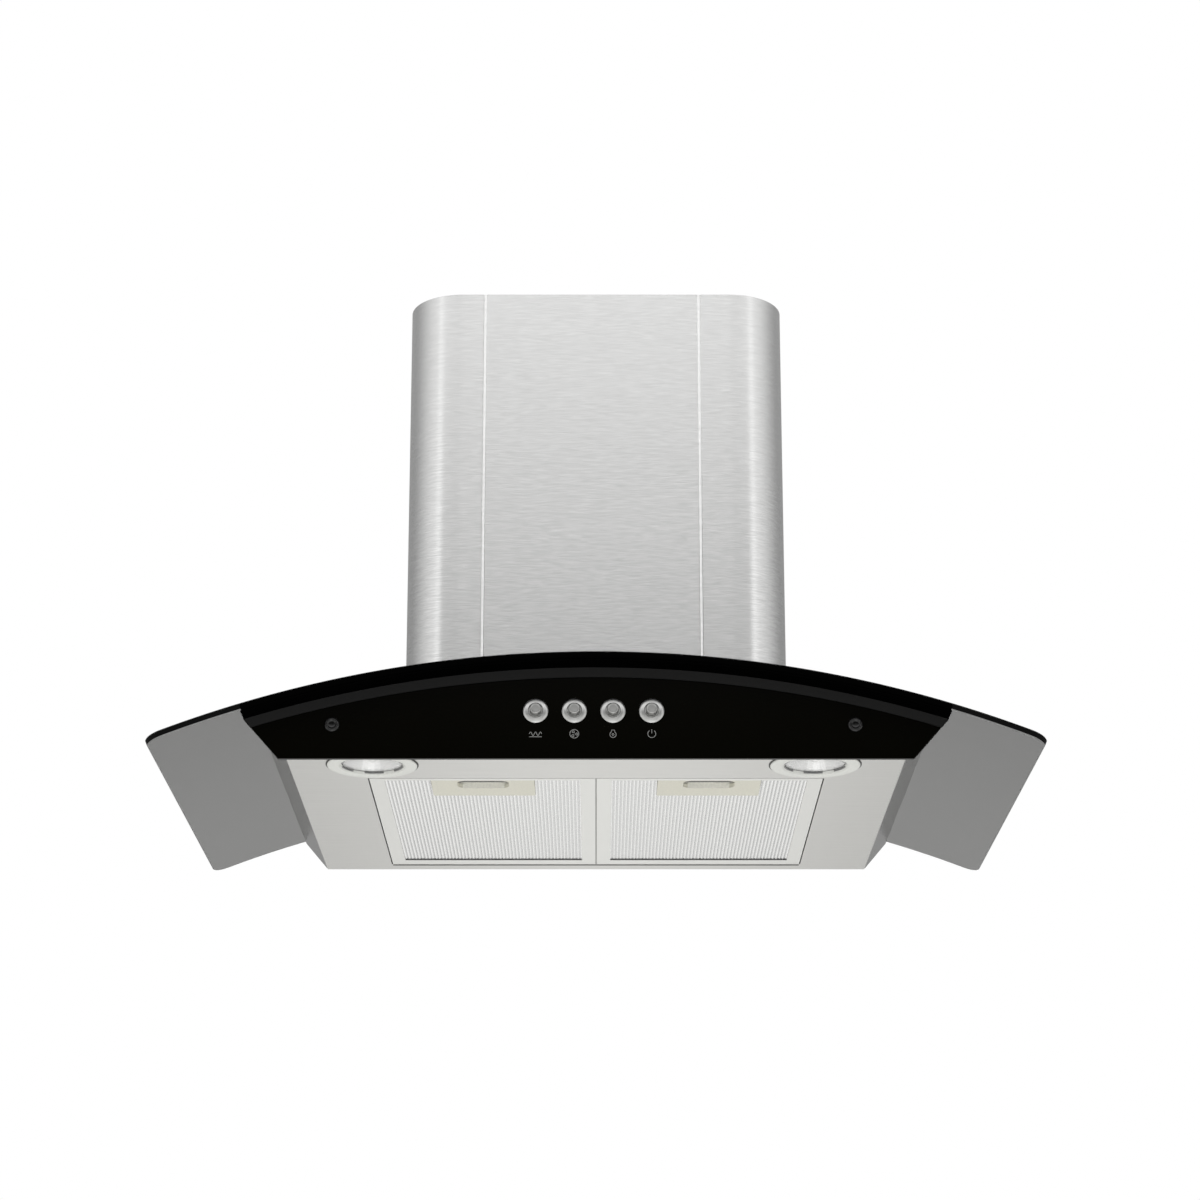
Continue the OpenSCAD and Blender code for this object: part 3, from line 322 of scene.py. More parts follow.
def swept_sheet(path, low, high, thickness, edge):
    """Grid of an upright folded sheet: its outer face follows a path in plan (n, 2) from low to high.

    A box section, as thick as the sheet and with its edges cut by `edge`, is set square to the path at each
    point. The grid closes round the section, and at both ends it is drawn together to one point."""
    along = np.gradient(path, axis=0)
    along /= np.linalg.norm(along, axis=1)[:, None]
    inward = np.stack([-along[:, 1], along[:, 0]], 1)
    depth = np.array([edge, 0, 0, edge, thickness - edge, thickness, thickness, thickness - edge, edge])
    rise = np.array([0, edge, -edge, 0, 0, -edge, edge, 0, 0])
    upper = np.array([0, 0, 1, 1, 1, 1, 0, 0, 0])[:, None]
    plan = path[None] + depth[:, None, None] * inward[None]
    height = low[None] * (1 - upper) + high[None] * upper + rise[:, None]
    return close_ends(np.concatenate([plan, height[..., None]], -1))


def arc(centre, radius, start, end, steps):
    """Points on a circle from one angle to another, in degrees."""
    angle = np.radians(np.linspace(start, end, steps))
    return np.stack([centre[0] + radius * np.cos(angle), centre[1] + radius * np.sin(angle)], 1)


def chimney_path(half, rear, front, corner, grooves, hem, bend):
    """Outer face in plan, from the left hem round the front to the right hem.

    Each groove is a low ridge between two steep steps down: `pressed` holds its points, offset and depth."""
    side = np.linspace(front + corner, rear - bend, 8)[::-1][:, None]
    left = np.concatenate([
        [[-half + 2 * bend, rear - bend - hem]],
        arc((-half + bend, rear - bend), bend, 0, 180, 9),
        np.concatenate([np.full_like(side, -half), side], 1)[1:-1],
        arc((-half + corner, front + corner), corner, 180, 270, 37)])
    pressed = np.array([(-1.75, 0), (-1.55, 0.8), (-0.2, 0.06), (0, 0.05), (0.2, 0.06), (1.55, 0.8),
                        (1.75, 0)]) * mm
    middle = np.concatenate([pressed + (x, front) for x in grooves])
    plain = np.stack([np.linspace(grooves[0], grooves[1], 14)[1:-1], np.full(12, front)], 1)
    ends = [np.stack([np.linspace(*span, 8)[1:-1], np.full(6, front)], 1)
            for span in ((-half + corner, grooves[0]), (grooves[1], half - corner))]
    right = left[::-1] * (-1, 1)
    first, second = np.split(middle, 2)
    return np.concatenate([left, ends[0], first, plain, second, ends[1], right])


chimney_low, chimney_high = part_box("chimney_cover")
groove_x = (-103 * mm, 95.5 * mm)
ridge_half = 1.6 * mm
sleeve_path = chimney_path(half=chimney_high[0], rear=chimney_high[1], front=chimney_low[1], corner=50 * mm,
                           grooves=groove_x, hem=9 * mm, bend=1.05 * mm)
sleeve_foot = arch_height(np.minimum(np.abs(sleeve_path[:, 0]), chimney_high[0]), arch_r + seat)
sleeve_top = np.full(len(sleeve_path), chimney_high[2])
sleeve_grid = swept_sheet(sleeve_path, sleeve_foot, sleeve_top, thickness=1 * mm, edge=0.2 * mm)
sleeve = build("chimney_sleeve", sleeve_grid, sharp=25.0)
chimney_steel, ridge_steel_painted_highlight = (
    brushed_metal(name, color, (70, 70, 1100), (120, 120, 3000), contrast=0.08, roughness=0.25,
                  depth=0.0000003, fade=(-0.1, 0.22, 1.8, 0.7),
                  **{"Anisotropic": 0.8, "Anisotropic Rotation": 0.25})
    for name, color in (("chimney_steel", (0.79, 0.79, 0.785)), ("ridge_steel_painted_highlight", (0.96, 0.96, 0.955))))
add_piece(sleeve, "hood", chimney_steel, "stainless", "chimney_cover")
# The front faces of each groove's ridge get the lighter steel: a painted highlight.
centres, normals = face_data(sleeve)
near_groove = np.minimum(*[np.abs(centres[:, 0] - x) for x in groove_x]) < ridge_half
at_front = (centres[:, 1] < chimney_low[1] + 0.9 * mm) & (normals[:, 1] < -0.5)
paint_faces(sleeve, near_groove & at_front, ridge_steel_painted_highlight)


# Glass canopy
# Grey toughened glass, 6 mm thick, bent to the arch, with rounded corners and a cut-out for the blower box.
# The tint is in the body of the glass, so its ground edges look black, with a grey lower arris. A black
# strip is printed on the underside where the rail's lip meets it.

corner_columns = 8


def glass_grid(half, front, rear, corner, inset, columns, shares):
    """Plan of the glass as a grid (rows, columns, 2): lines along y, whose ends follow the outline.

    In the corners the lines end on a circle, and they stand closer together there."""
    tips = half - corner + (corner - inset) * np.sin(np.radians(np.linspace(0, 90, corner_columns + 1)))[1:]
    x = np.concatenate([-tips[::-1], columns, tips])
    past = np.clip(np.abs(x) - (half - corner), 0, None)
    cut = corner - np.sqrt(np.clip((corner - inset) ** 2 - past ** 2, 0, None))
    low, high = front + cut, rear - cut
    share = shares[:, None]
    return np.stack([np.broadcast_to(x, (len(share), len(x))), low + (high - low) * share], -1)


def on_arch(plan, depth):
    """Carries plan points (x, y) to the arch, `depth` below its outer surface and square to it."""
    radius = arch_r - depth
    turn = plan[..., 0] / arch_r
    return np.stack([radius * turn, plan[..., 1], arch_z + radius * np.sqrt(1 - turn ** 2)], -1)


def outline(grid):
    """The grid's rim as one closed row of points, counter-clockwise seen from above."""
    return np.concatenate([grid[0, :-1], grid[:-1, -1], grid[-1, :0:-1], grid[::-1, 0]])


glass_low, glass_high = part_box("glass_canopy")
glass_t = 6 * mm
arris = 0.9 * mm
strip_w = 4 * mm
corner = 14 * mm
box_low, box_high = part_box("blower_top")
cut_gap = 3 * mm
cut_x = box_high[0] + cut_gap
cut_front, cut_rear = box_low[1] - cut_gap, box_high[1] + cut_gap
flat_x = glass_high[0] - corner - 1 * mm
wing_columns, cut_columns, front_rows, cut_rows, rear_rows = 40, 55, 8, 17, 3
columns = np.concatenate([
    np.linspace(-flat_x, -cut_x, wing_columns), np.linspace(-cut_x, cut_x, cut_columns)[1:-1],
    np.linspace(cut_x, flat_x, wing_columns)])
strip_share, *cut_share = [(y - glass_low[1]) / (glass_high[1] - glass_low[1])
                           for y in (glass_low[1] + strip_w, cut_front, cut_rear)]
shares = np.concatenate([
    [0], np.linspace(strip_share, cut_share[0], front_rows), np.linspace(*cut_share, cut_rows)[1:],
    np.linspace(cut_share[1], 1, rear_rows)[1:]])
face_plan, rim_plan = (glass_grid(glass_high[0], glass_low[1], glass_high[1], corner, inset, columns, shares)
                       for inset in (arris, 0.0))
first_column = corner_columns + wing_columns - 1
last_column = first_column + cut_columns - 1
first_row, last_row = front_rows, front_rows + cut_rows - 1
cut_plan = face_plan[:, first_column:last_column + 1]
blocks = [face_plan[:, :first_column + 1], face_plan[:, last_column:],
          cut_plan[:first_row + 1], cut_plan[last_row:]]
hole = outline(cut_plan[first_row:last_row + 1])
rim = [on_arch(outline(plan), depth) for plan, depth in
       ((face_plan, 0.0), (rim_plan, arris), (rim_plan, glass_t - arris), (face_plan, glass_t))]
canopy = build("canopy_glass", *[on_arch(block, depth) for block in blocks for depth in (0.0, glass_t)],
               np.stack(rim), np.stack([on_arch(hole, 0.0), on_arch(hole, glass_t)]))

smoked_glass, g = new_material("smoked_glass")
surface = g.add("ShaderNodeBsdfPrincipled", {"Base Color": (1, 1, 1), "Roughness": 0.0, "IOR": 1.5,
                                             "Transmission Weight": 1.0})
tint = g.add("ShaderNodeVolumeAbsorption", {"Color": (0, 0, 0), "Density": 400.0})
g.add("ShaderNodeOutputMaterial", {"Surface": surface.outputs[0], "Volume": tint.outputs[0]})


def grain_group():
    """Fine grain of a moulded, painted or ground surface."""
    tree, g, source = node_group("fine_grain", {"Vector": "Vector", "Scale": "Float"}, ("Tone", "Height"))
    noise = g.add("ShaderNodeTexNoise", {"Vector": source["Vector"], "Scale": source["Scale"], "Detail": 4.0})
    g.add("NodeGroupOutput", {"Tone": noise.outputs[0], "Height": noise.outputs[0]})
    return tree


fine_grain = grain_group()


def grained(name, color, roughness, scale=500.0, mottle=0.05, depth=0.000004, **constant):
    """A surface with a fine grain in its colour, roughness and height."""
    material, g = new_material(name)
    place = g.add("ShaderNodeTexCoord").outputs["Object"]
    grain = g.add("ShaderNodeGroup", {"Vector": place, "Scale": scale}, node_tree=fine_grain)
    tone = g.ramp(grain.outputs["Tone"], 0.3, 0.7, 1 - mottle, 1 + mottle)
    rough = g.ramp(grain.outputs["Tone"], 0.3, 0.7, roughness * 0.9, roughness * 1.1)
    bumped = g.add("ShaderNodeBump", {"Strength": 1.0, "Distance": depth, "Height": grain.outputs["Height"]})
    surface = g.add("ShaderNodeBsdfPrincipled", {"Base Color": g.scaled(color, tone), "Roughness": rough,
                                                 "Normal": bumped.outputs[0], **constant})
    g.add("ShaderNodeOutputMaterial", {"Surface": surface.outputs[0]})
    return material


ground_edge = grained("ground_edge", (0.0012, 0.0012, 0.0012), 0.5, scale=2000.0,
                      **{"Specular IOR Level": 0.08})
add_piece(canopy, "hood", smoked_glass, "smoked_glass", "glass_canopy")
printed_black = grained("printed_black", (0.0007, 0.0007, 0.0007), 0.5, **{"Specular IOR Level": 0.0})
ground_arris = grained("ground_arris", (0.2, 0.2, 0.2), 0.6, scale=2000.0)
centres, normals = face_data(canopy)
outward = centres * (1, 0, 1) - (0, 0, arch_z)
outward /= np.linalg.norm(outward, axis=1)[:, None]
outwards = (outward * normals).sum(1)
rail_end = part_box("fascia_rail")[1][0]
edge = np.abs(outwards) < 0.4
lower_arris = (outwards < -0.4) & (outwards > -0.9)
over_rail = (outwards < 0.4) & (centres[:, 1] < glass_low[1] + strip_w) & (np.abs(centres[:, 0]) < rail_end)
coat = np.select([over_rail, lower_arris, edge], [2, 3, 1], 0)
paint_faces(canopy, coat, ground_edge, printed_black, ground_arris)


# Body and tray
# Both are folded from 1 mm stainless sheet: the body with its sloping sides, and the flat underside with a
# turned-up rim round the filter opening. Their folds and cut edges are slightly rounded.

def finished_copy(node, name, bevel, segments=2, angle=35.0):
    """A merged copy of a node, whose edges steeper than the angle are rounded by a bevel."""
    mesh = node_object[node].data.copy()
    mesh.name = name
    mesh.materials.clear()
    shape = bmesh.new()
    shape.from_mesh(mesh)
    bmesh.ops.remove_doubles(shape, verts=shape.verts, dist=1e-6)
    bmesh.ops.dissolve_limit(shape, angle_limit=math.radians(0.05), verts=shape.verts, edges=shape.edges)
    shape.to_mesh(mesh)
    shape.free()
    mesh.shade_smooth()
    mesh.set_sharp_from_angle(angle=math.radians(angle))
    made = bpy.data.objects.new(name, mesh)
    bpy.context.scene.collection.objects.link(made)
    rounding = made.modifiers.new("rounded_edges", "BEVEL")
    rounding.width = bevel
    rounding.segments = segments
    rounding.limit_method = "ANGLE"
    rounding.angle_limit = math.radians(angle)
    rounding.harden_normals = True
    return made


# The body's sheet gets a darker steel colour than the chimney's and the tray's: painted shade on its sloping
# sides.
body_steel_painted_shade = brushed_metal("body_steel_painted_shade", (0.48, 0.48, 0.47), (30, 30, 700), (60, 60, 2600),
                           contrast=0.03, roughness=0.2, depth=0.000002)
tray_steel = brushed_metal("tray_steel", (0.675, 0.67, 0.652), (14, 500, 500), (30, 1800, 1800),
                           contrast=0.025, roughness=0.32, depth=0.0000015)
body_sheet = finished_copy("canopy_shell", "body_sheet", bevel=0.3 * mm)
add_piece(body_sheet, "hood", body_steel_painted_shade, "stainless", "canopy_shell")
tray_sheet = finished_copy("bottom_tray", "tray_sheet", bevel=0.3 * mm)
add_piece(tray_sheet, "hood", tray_steel, "stainless", "bottom_tray")


# Black fascia
# The rail is satin black: a lip under the glass and a sloping band, turned about the axis of the arch. The
# panel under it is gloss black, with polished edges. The rail's lip and ends are matt.

def soften(corners, cut, closed=True, steps=6):
    """Rounds an outline (n, 2): each corner becomes a curve that starts and ends `cut` away from it."""
    corners = np.asarray(corners, float)
    cut = np.broadcast_to(cut, len(corners)).astype(float)
    if not closed:
        cut = cut * np.r_[0, np.ones(len(corners) - 2), 0]
    back, ahead = np.roll(corners, 1, 0) - corners, np.roll(corners, -1, 0) - corners
    step_back = back * np.minimum(cut / np.linalg.norm(back, axis=1), 0.45)[:, None]
    step_ahead = ahead * np.minimum(cut / np.linalg.norm(ahead, axis=1), 0.45)[:, None]
    t = np.linspace(0, 1, steps)[None, :, None]
    curve = corners[:, None] + (1 - t) ** 2 * step_back[:, None] + t ** 2 * step_ahead[:, None]
    curve = curve.reshape(-1, 2)
    return np.concatenate([curve, curve[:1]]) if closed else curve


def inset(profile, depth):
    """A closed counter-clockwise outline (n, 2) moved inwards, square to its own direction at each point."""
    points = profile[:-1]
    along = np.roll(points, -1, 0) - np.roll(points, 1, 0)
    moved = points + depth * np.stack([-along[:, 1], along[:, 0]], 1) / np.linalg.norm(along, axis=1)[:, None]
    return np.concatenate([moved, moved[:1]])


panel_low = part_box("control_panel")[0]
rail_low, rail_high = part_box("fascia_rail")
end_slope = math.radians(49)
panel_half = 265.5 * mm


def rail_points(profile, share, cut=0.0):
    """Turns a profile (radius, y) about the arch's axis, to shares from 1 to -1 of the rail's half-angle.

    The half-angle is where a circle of the arch meets the slope that leaves the panel's lower corner,
    x = half + (z - low) / tan(slope)."""
    radius = profile[:, :1]
    lift = (arch_z - panel_low[2]) / math.tan(end_slope) + panel_half
    reach = np.arcsin(lift / radius * math.sin(end_slope)) + math.pi / 2 - end_slope - cut / radius
    turn = reach * np.asarray(share)[None]
    across, up = radius * np.sin(turn), arch_z + radius * np.cos(turn)
    return np.stack(np.broadcast_arrays(across, profile[:, 1:], up), -1)


lip_t, band_drop, lip_out = 1.5 * mm, 9.4 * mm, 3 * mm
under_r, lip_r, band_r = arch_r - glass_t - seat, arch_r - glass_t - lip_t, arch_r - glass_t - band_drop + seat
rail_profile = soften([(band_r, rail_high[1]), (band_r, panel_low[1]), (lip_r, panel_low[1] - lip_out),
                       (lip_r, rail_low[1]), (under_r, rail_low[1]), (under_r, rail_high[1])],
                      np.array([0.3, 0.3, 0.3, 0.4, 0.4, 0.3]) * mm)
rail_tip = np.broadcast_to([(lip_r + under_r) / 2, (panel_low[1] + rail_high[1]) / 2], rail_profile.shape)
end_profile = inset(rail_profile, 0.25 * mm)
rail_grid = [rail_points(rail_tip, [1]), rail_points(end_profile, [1]),
             rail_points(rail_profile, np.linspace(1, -1, 121), 0.3 * mm),
             rail_points(end_profile, [-1]), rail_points(rail_tip, [-1])]
rail_black = grained("rail_black", (0.004, 0.004, 0.004), 0.35, **{"Specular IOR Level": 0.13})
rail = build("arched_rail", np.concatenate(rail_grid, 1))
add_piece(rail, "hood", rail_black, "black_rail", "fascia_rail")
centres, normals = face_data(rail)
on_lip = (centres[:, 1] < panel_low[1] - lip_out - 0.4 * mm) | (np.abs(normals[:, 0]) > 0.5)
paint_faces(rail, on_lip, printed_black)
panel_black = grained("panel_black", (0.0016, 0.0015, 0.0009), 0.06, mottle=0.0, depth=0.0000005,
                      **{"Specular IOR Level": 0.1})
gloss_panel = finished_copy("control_panel", "gloss_panel", bevel=0.5 * mm)
add_piece(gloss_panel, "hood", panel_black, "black_panel", "control_panel")


# Screw caps
# Two black plugs cover the panel's screws: each has a round rim and a dished middle.

def turned(profile, centre, out, steps=96):
    """Grid of a profile (radius, height), in millimetres, turned about the direction `out` through centre.

    Its UV runs round and along the profile, in metres, for lines that follow the turning."""
    profile = np.asarray(profile, float) * mm
    across, up = {"front": ((1, 0, 0), (0, 0, 1)), "up": ((1, 0, 0), (0, 1, 0))}[out]
    axis = {"front": (0, -1, 0), "up": (0, 0, 1)}[out]
    angle = np.linspace(0, 2 * np.pi, steps + 1)
    ring = np.cos(angle)[:, None] * across + np.sin(angle)[:, None] * up
    grid = centre + profile[:, :1, None] * ring[None] + profile[:, 1:, None] * np.array(axis, float)
    length = np.r_[0, np.cumsum(np.linalg.norm(np.diff(profile, axis=0), axis=1))]
    uv = np.stack(np.broadcast_arrays(angle[None] * profile[:, 0].max(), length[:, None]), -1)
    return grid, uv


panel_face = panel_low[1]
cap_low, cap_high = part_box("screw_caps")
cap_r = 6.5
cap_x = cap_low[0] + cap_r * mm, cap_high[0] - cap_r * mm
cap_z = (cap_low[2] + cap_high[2]) / 2
cap_profile = soften([(0, 0.9), (2.9, 1.0), (3.9, 2.0), (4.9, 2.1), (6.1, 1.2), (cap_r, 0), (3.2, 0),
                      (3.2, -4), (0, -4)], 0.7, closed=False)
caps = build("panel_caps", *[turned(cap_profile, (x, panel_face, cap_z), "front") for x in cap_x])
cap_black = grained("cap_black", (0.004, 0.004, 0.004), 0.16, **{"Specular IOR Level": 0.5})
add_piece(caps, "hood", cap_black, "black_panel", "screw_caps")


# Push buttons
# Each button is a turned cap with a dished end, in a bezel with a domed face and a well. Both are satin
# silver, with turning lines that run round them.

def turned_metal(name, color, roughness, contrast):
    """Turned metal: fine lines that run round the piece along its UV."""
    material, g = new_material(name)
    lines = g.add("ShaderNodeGroup", {"Vector": g.add("ShaderNodeTexCoord").outputs["UV"],
                                      "Long": (60, 3000, 1), "Short": (200, 9000, 1)}, node_tree=brushed)
    tone = g.ramp(lines.outputs["Tone"], 0.3, 0.7, 1 - contrast, 1 + contrast)
    rough = g.ramp(lines.outputs["Tone"], 0.3, 0.7, roughness * 0.9, roughness * 1.1)
    surface = g.add("ShaderNodeBsdfPrincipled", {"Base Color": g.scaled(color, tone), "Metallic": 1.0,
                                                 "Roughness": rough})
    g.add("ShaderNodeOutputMaterial", {"Surface": surface.outputs[0]})
    return material


bezel_silver = turned_metal("bezel_silver", (0.62, 0.62, 0.61), 0.34, 0.06)
button_silver = turned_metal("button_silver", (0.46, 0.46, 0.45), 0.36, 0.05)
bezel_profile = soften([(4.9, -5), (4.9, 1.5), (5.8, 1.5), (6.3, 2.4), (9.3, 1.5), (10.6, 0.5), (10.6, 0),
                        (7.6, 0), (7.6, -5)], [0, 0.2, 0.2, 0.4, 1.2, 0.3, 0.1, 0, 0])
button_profile = soften([(0, 8.8), (3.7, 9.0), (4.8, 8.2), (4.8, -9.6), (6.2, -9.6), (6.2, -11.1), (2.5, -11.1),
                         (2.5, -18), (0, -18)], [0, 0.8, 0.8, 0, 0, 0, 0, 0, 0], closed=False)
button_centres = []
for i in (1, 2, 3, 4):
    low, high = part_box(f"button_bezel_{i}")
    centre = ((low[0] + high[0]) / 2, panel_face, (low[2] + high[2]) / 2)
    button_centres.append(centre)
    bezel = build(f"bezel_{i}", turned(bezel_profile, centre, "front"))
    add_piece(bezel, "hood", bezel_silver, "silver_trim", f"button_bezel_{i}")
    push_button = build(f"push_button_{i}", turned(button_profile, centre, "front", steps=64))
    add_piece(push_button, f"button_{i}", button_silver, "silver_trim", f"button_cap_{i}")


# Button signs
# Pale line pictograms are printed under the buttons: an air wave, a fan, a bulb and a power sign.

def stroke(points, width=0.55, height=0.05):
    """Grid of a printed line: a flat ribbon along points (n, 2) in millimetres, closed all round."""
    points = np.asarray(points, float)
    along = np.gradient(points, axis=0)
    along /= np.linalg.norm(along, axis=1)[:, None]
    side = np.stack([-along[:, 1], along[:, 0]], 1) * width / 2
    ring = [(side, height), (side, 0.0), (-side, 0.0), (-side, height), (side, height)]
    return close_ends(np.stack([np.concatenate([points + offset, np.full((len(points), 1), level)], 1)
                                for offset, level in ring]))


def wave(low, high, turns, rise):
    """A sine line from low to high: y = rise * sin(2 pi turns (x - low) / (high - low))."""
    x = np.linspace(low, high, 40)
    return np.stack([x, rise * np.sin(turns * 2 * np.pi * (x - low) / (high - low))], 1)


def blade_loop(angle):
    """One leaf-shaped fan blade: a loop whose radius swells and falls again on one side of its axis."""
    t = np.linspace(0, 1, 17)
    angle = np.radians(angle)
    radius, lean = 0.5 + 2.3 * np.sin(np.pi * t / 2), angle + 0.9 * np.sin(np.pi * t)
    out = np.stack([radius * np.cos(lean), radius * np.sin(lean)], 1)
    back = np.stack([radius[::-1] * np.cos(angle), radius[::-1] * np.sin(angle)], 1)
    return np.concatenate([out, back[1:]])


signs = [
    [wave(-5.2, 5.2, turns=2.5, rise=1.5), [(-5.2, -2.6), (5.2, -2.6)]],
    [arc((0, 0), 3.7, 0, 360, 49), *[blade_loop(angle) for angle in (90, 210, 330)]],
    [arc((0, -0.6), 2.6, 120, 420, 41), [(-1.3, 1.7), (-1.3, 3.2), (1.3, 3.2), (1.3, 1.7)],
     arc((0, -0.6), 0.8, 0, 360, 13)],
    [arc((0, 0), 3.3, 125, 415, 41), [(0, 0.4), (0, 3.9)]],
]
sign_drop = 20 * mm
marks = []
for (x, y, z), lines in zip(button_centres, signs):
    for line in lines:
        grid = stroke(line) * mm
        marks.append((x, y, z - sign_drop) + np.stack([grid[..., 0], -grid[..., 2], grid[..., 1]], -1))
sign_ink = grained("sign_ink", (0.17, 0.17, 0.165), 0.6)
add_piece(build("button_signs", *marks), "hood", sign_ink, "lamp_trim")


# Lamps
# A pale trim ring holds a clear lens, over a faceted bright bowl with a halogen capsule in its socket. A dark
# ring round the trim and six dark clips on its inner edge stand where shade falls: painted shadow.

ring_white = grained("ring_white", (0.71, 0.715, 0.685), 0.35)
clip_painted_shade = grained("clip_painted_shade", (0.3, 0.3, 0.3), 0.4, **{"Metallic": 0.5})
painted_shadow_black = grained("painted_shadow_black", (0.015, 0.015, 0.015), 0.5)
bright_bowl = grained("bright_bowl", (0.77, 0.77, 0.77), 0.06, mottle=0.0, depth=0.0000005,
                      **{"Metallic": 1.0})
ceramic = grained("ceramic", (0.85, 0.84, 0.80), 0.5)
lamp_glass, g = new_material("lamp_glass")
surface = g.add("ShaderNodeBsdfPrincipled", {"Base Color": (1, 1, 1), "Roughness": 0.03, "IOR": 1.45,
                                             "Transmission Weight": 1.0})
g.add("ShaderNodeOutputMaterial", {"Surface": surface.outputs[0]})
ring_profile = soften([(26.0, 0.6), (26.4, 0.0), (28.2, -1.9), (37.0, -2.0), (38.3, -1.4), (38.3, 0.0),
                       (32.5, 0.0), (32.5, 12), (31.5, 12), (31.5, 0.6)],
                      [0, 0.5, 0.8, 0.8, 0.4, 0, 0, 0, 0, 0])
shadow_ring_profile = soften([(37.4, -0.5), (39.5, -0.5), (39.5, 0.0), (37.4, 0.0)], 0.1)
lens_top, bowl_depth, bowl_t = 3.1, 14, 0.8
lens_profile = soften([(0, 0.6), (29.5, 0.6), (31.2, 1.0), (31.2, 2.6), (29.5, lens_top), (0, lens_top)],
                      [0, 0.8, 0.8, 0.8, 0.8, 0], closed=False)
bowl = np.linspace(0, 1, 8)
bowl_inside = np.stack([6 + 20.3 * bowl, lens_top + bowl_depth * (1 - bowl ** 2)], 1)
bowl_profile = np.concatenate([
    bowl_inside, [(31.2, lens_top), (31.2, 3.9)], bowl_inside[::-1] + (bowl_t, bowl_t), bowl_inside[:1]])
# Six dark clips on the trim ring's inner edge, where that edge lies in shade: painted shade.
clip_r, clip_half, clip_t, clip_drop = 26.4, 18, 1.3, 0.9
clips = [stroke(arc((0, 0), clip_r, middle - clip_half, middle + clip_half, 13), 0.9, clip_t)
         for middle in range(30, 390, 60)]
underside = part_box("bottom_tray")[0][2]
for side in ("left", "right"):
    low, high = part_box("lamp_ring_" + side)
    centre = ((low[0] + high[0]) / 2, (low[1] + high[1]) / 2, underside)
    trim_ring = build("trim_ring_" + side, turned(ring_profile, centre, "up", steps=128))
    add_piece(trim_ring, "hood", ring_white, "lamp_trim", "lamp_ring_" + side)
    clips_here = [centre + (clip - (0, 0, clip_drop)) * mm for clip in clips]
    add_piece(build("lens_shade_clips_" + side, *clips_here), "hood", clip_painted_shade, "black_rail")
    # A dark ring round the trim ring, where the gap round it lies in shade: painted shadow.
    ring_shadow_strip = build("ring_shadow_strip_" + side, turned(shadow_ring_profile, centre, "up", steps=128))
    add_piece(ring_shadow_strip, "hood", painted_shadow_black, "black_rail")
    lens = build("lens_" + side, turned(lens_profile, centre, "up", steps=144)[0])
    add_piece(lens, "hood", lamp_glass, "clear_glass", "lamp_lens_" + side)
    bowl_piece = build("bowl_" + side, turned(bowl_profile, centre, "up", steps=28), sharp=5.0)
    add_piece(bowl_piece, "hood", bright_bowl, "reflector", "lamp_reflector_" + side)
    dress(lamp_glass, "lamp_capsule_" + side)
    dress(ceramic, "lamp_socket_" + side)


# Grease filters
# A folded aluminium frame holds a corrugated mesh, and a cream grip plate with a finger slot and a latch.
# The mesh is painted darker in its valleys, as painted shade. Inside the slot the plastic is painted paler,
# as painted light, and the latch's front part is painted dark, as painted shadow. The frame's rear faces that
# look forward are painted dark too. A dark strip in the gap behind the filters and a grey one in the gap
# between them are painted shadow.

def corrugated(low, high, notch_x, notch_y, pitch, rise, thickness):
    """Grid of a corrugated sheet: height = rise * sin(pi x / pitch)^2, with a notch for the grip in front."""
    count = int((high[0] - low[0]) / pitch)
    x = (low[0] + high[0]) / 2 + np.linspace(-count / 2, count / 2, count * 10 + 1) * pitch
    height = low[2] + rise * np.sin(np.pi * (x - x[0]) / pitch) ** 2
    start = np.where(np.abs(x - (low[0] + high[0]) / 2) < notch_x, notch_y, low[1])
    rear = np.full_like(x, high[1])
    rows = [(start, 0), (rear, 0), (rear, thickness), (start, thickness), (start, 0)]
    return close_ends(np.stack([np.stack([x, y, height + lift], 1) for y, lift in rows]))


filter_aluminium = grained("filter_aluminium", (0.79, 0.79, 0.77), 0.42, scale=900.0, mottle=0.02,
                           **{"Metallic": 1.0})


def shade_painted_along(name, color, axis, span, shades, roughness, scale, **constant):
    """A grained surface whose colour goes from one shade to another along an axis: painted shade, as in a
    hollow.
    """
    material, g = new_material(name)
    place = g.add("ShaderNodeTexCoord").outputs["Object"]
    shade = g.ramp(g.add("ShaderNodeSeparateXYZ", {0: place}).outputs[axis], *span, *shades)
    grain = g.add("ShaderNodeGroup", {"Vector": place, "Scale": scale}, node_tree=fine_grain).outputs["Tone"]
    surface = g.add("ShaderNodeBsdfPrincipled", {"Base Color": g.scaled(color, shade),
                                                 "Roughness": g.ramp(grain, 0.3, 0.7, *roughness), **constant})
    g.add("ShaderNodeOutputMaterial", {"Surface": surface.outputs[0]})
    return material


mesh_z, mesh_pitch, mesh_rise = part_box("filter_mesh_left")[0][2], 3.25 * mm, 0.25 * mm
# The mesh is painted darker in its valleys than on its crests: painted shade, which carries most of its light
# and dark lines.
mesh_aluminium_painted_shade = shade_painted_along("mesh_aluminium_painted_shade", (1, 1, 1), 2, (mesh_z, mesh_z + mesh_rise), (1.0, 0.75), (0.24, 0.3),
                        700.0, **{"Metallic": 1.0})
cream = grained("cream", (0.66, 0.645, 0.555), 0.45)
pale_cream = (0.88, 0.87, 0.81)
# Inside the finger slot the cream is painted paler than the grip: painted light.
slot_cream_painted_light = grained("slot_cream_painted_light", pale_cream, 0.45)
pad_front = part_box("filter_frame_left")[0][1] + 19 * mm
# The latch pad's front part is painted dark, fading to pale further back: a painted shadow.
latch_painted_shadow = shade_painted_along("latch_painted_shadow", pale_cream, 1, (pad_front + 9.5 * mm, pad_front + 14 * mm), (0.08, 1.0),
                    (0.4, 0.5), 500.0)
shadow_edge = grained("shadow_edge", (0.1, 0.1, 0.1), 0.5)
grip_bevel, grip_play, slot_half = 0.3 * mm, 0.2 * mm, 23 * mm
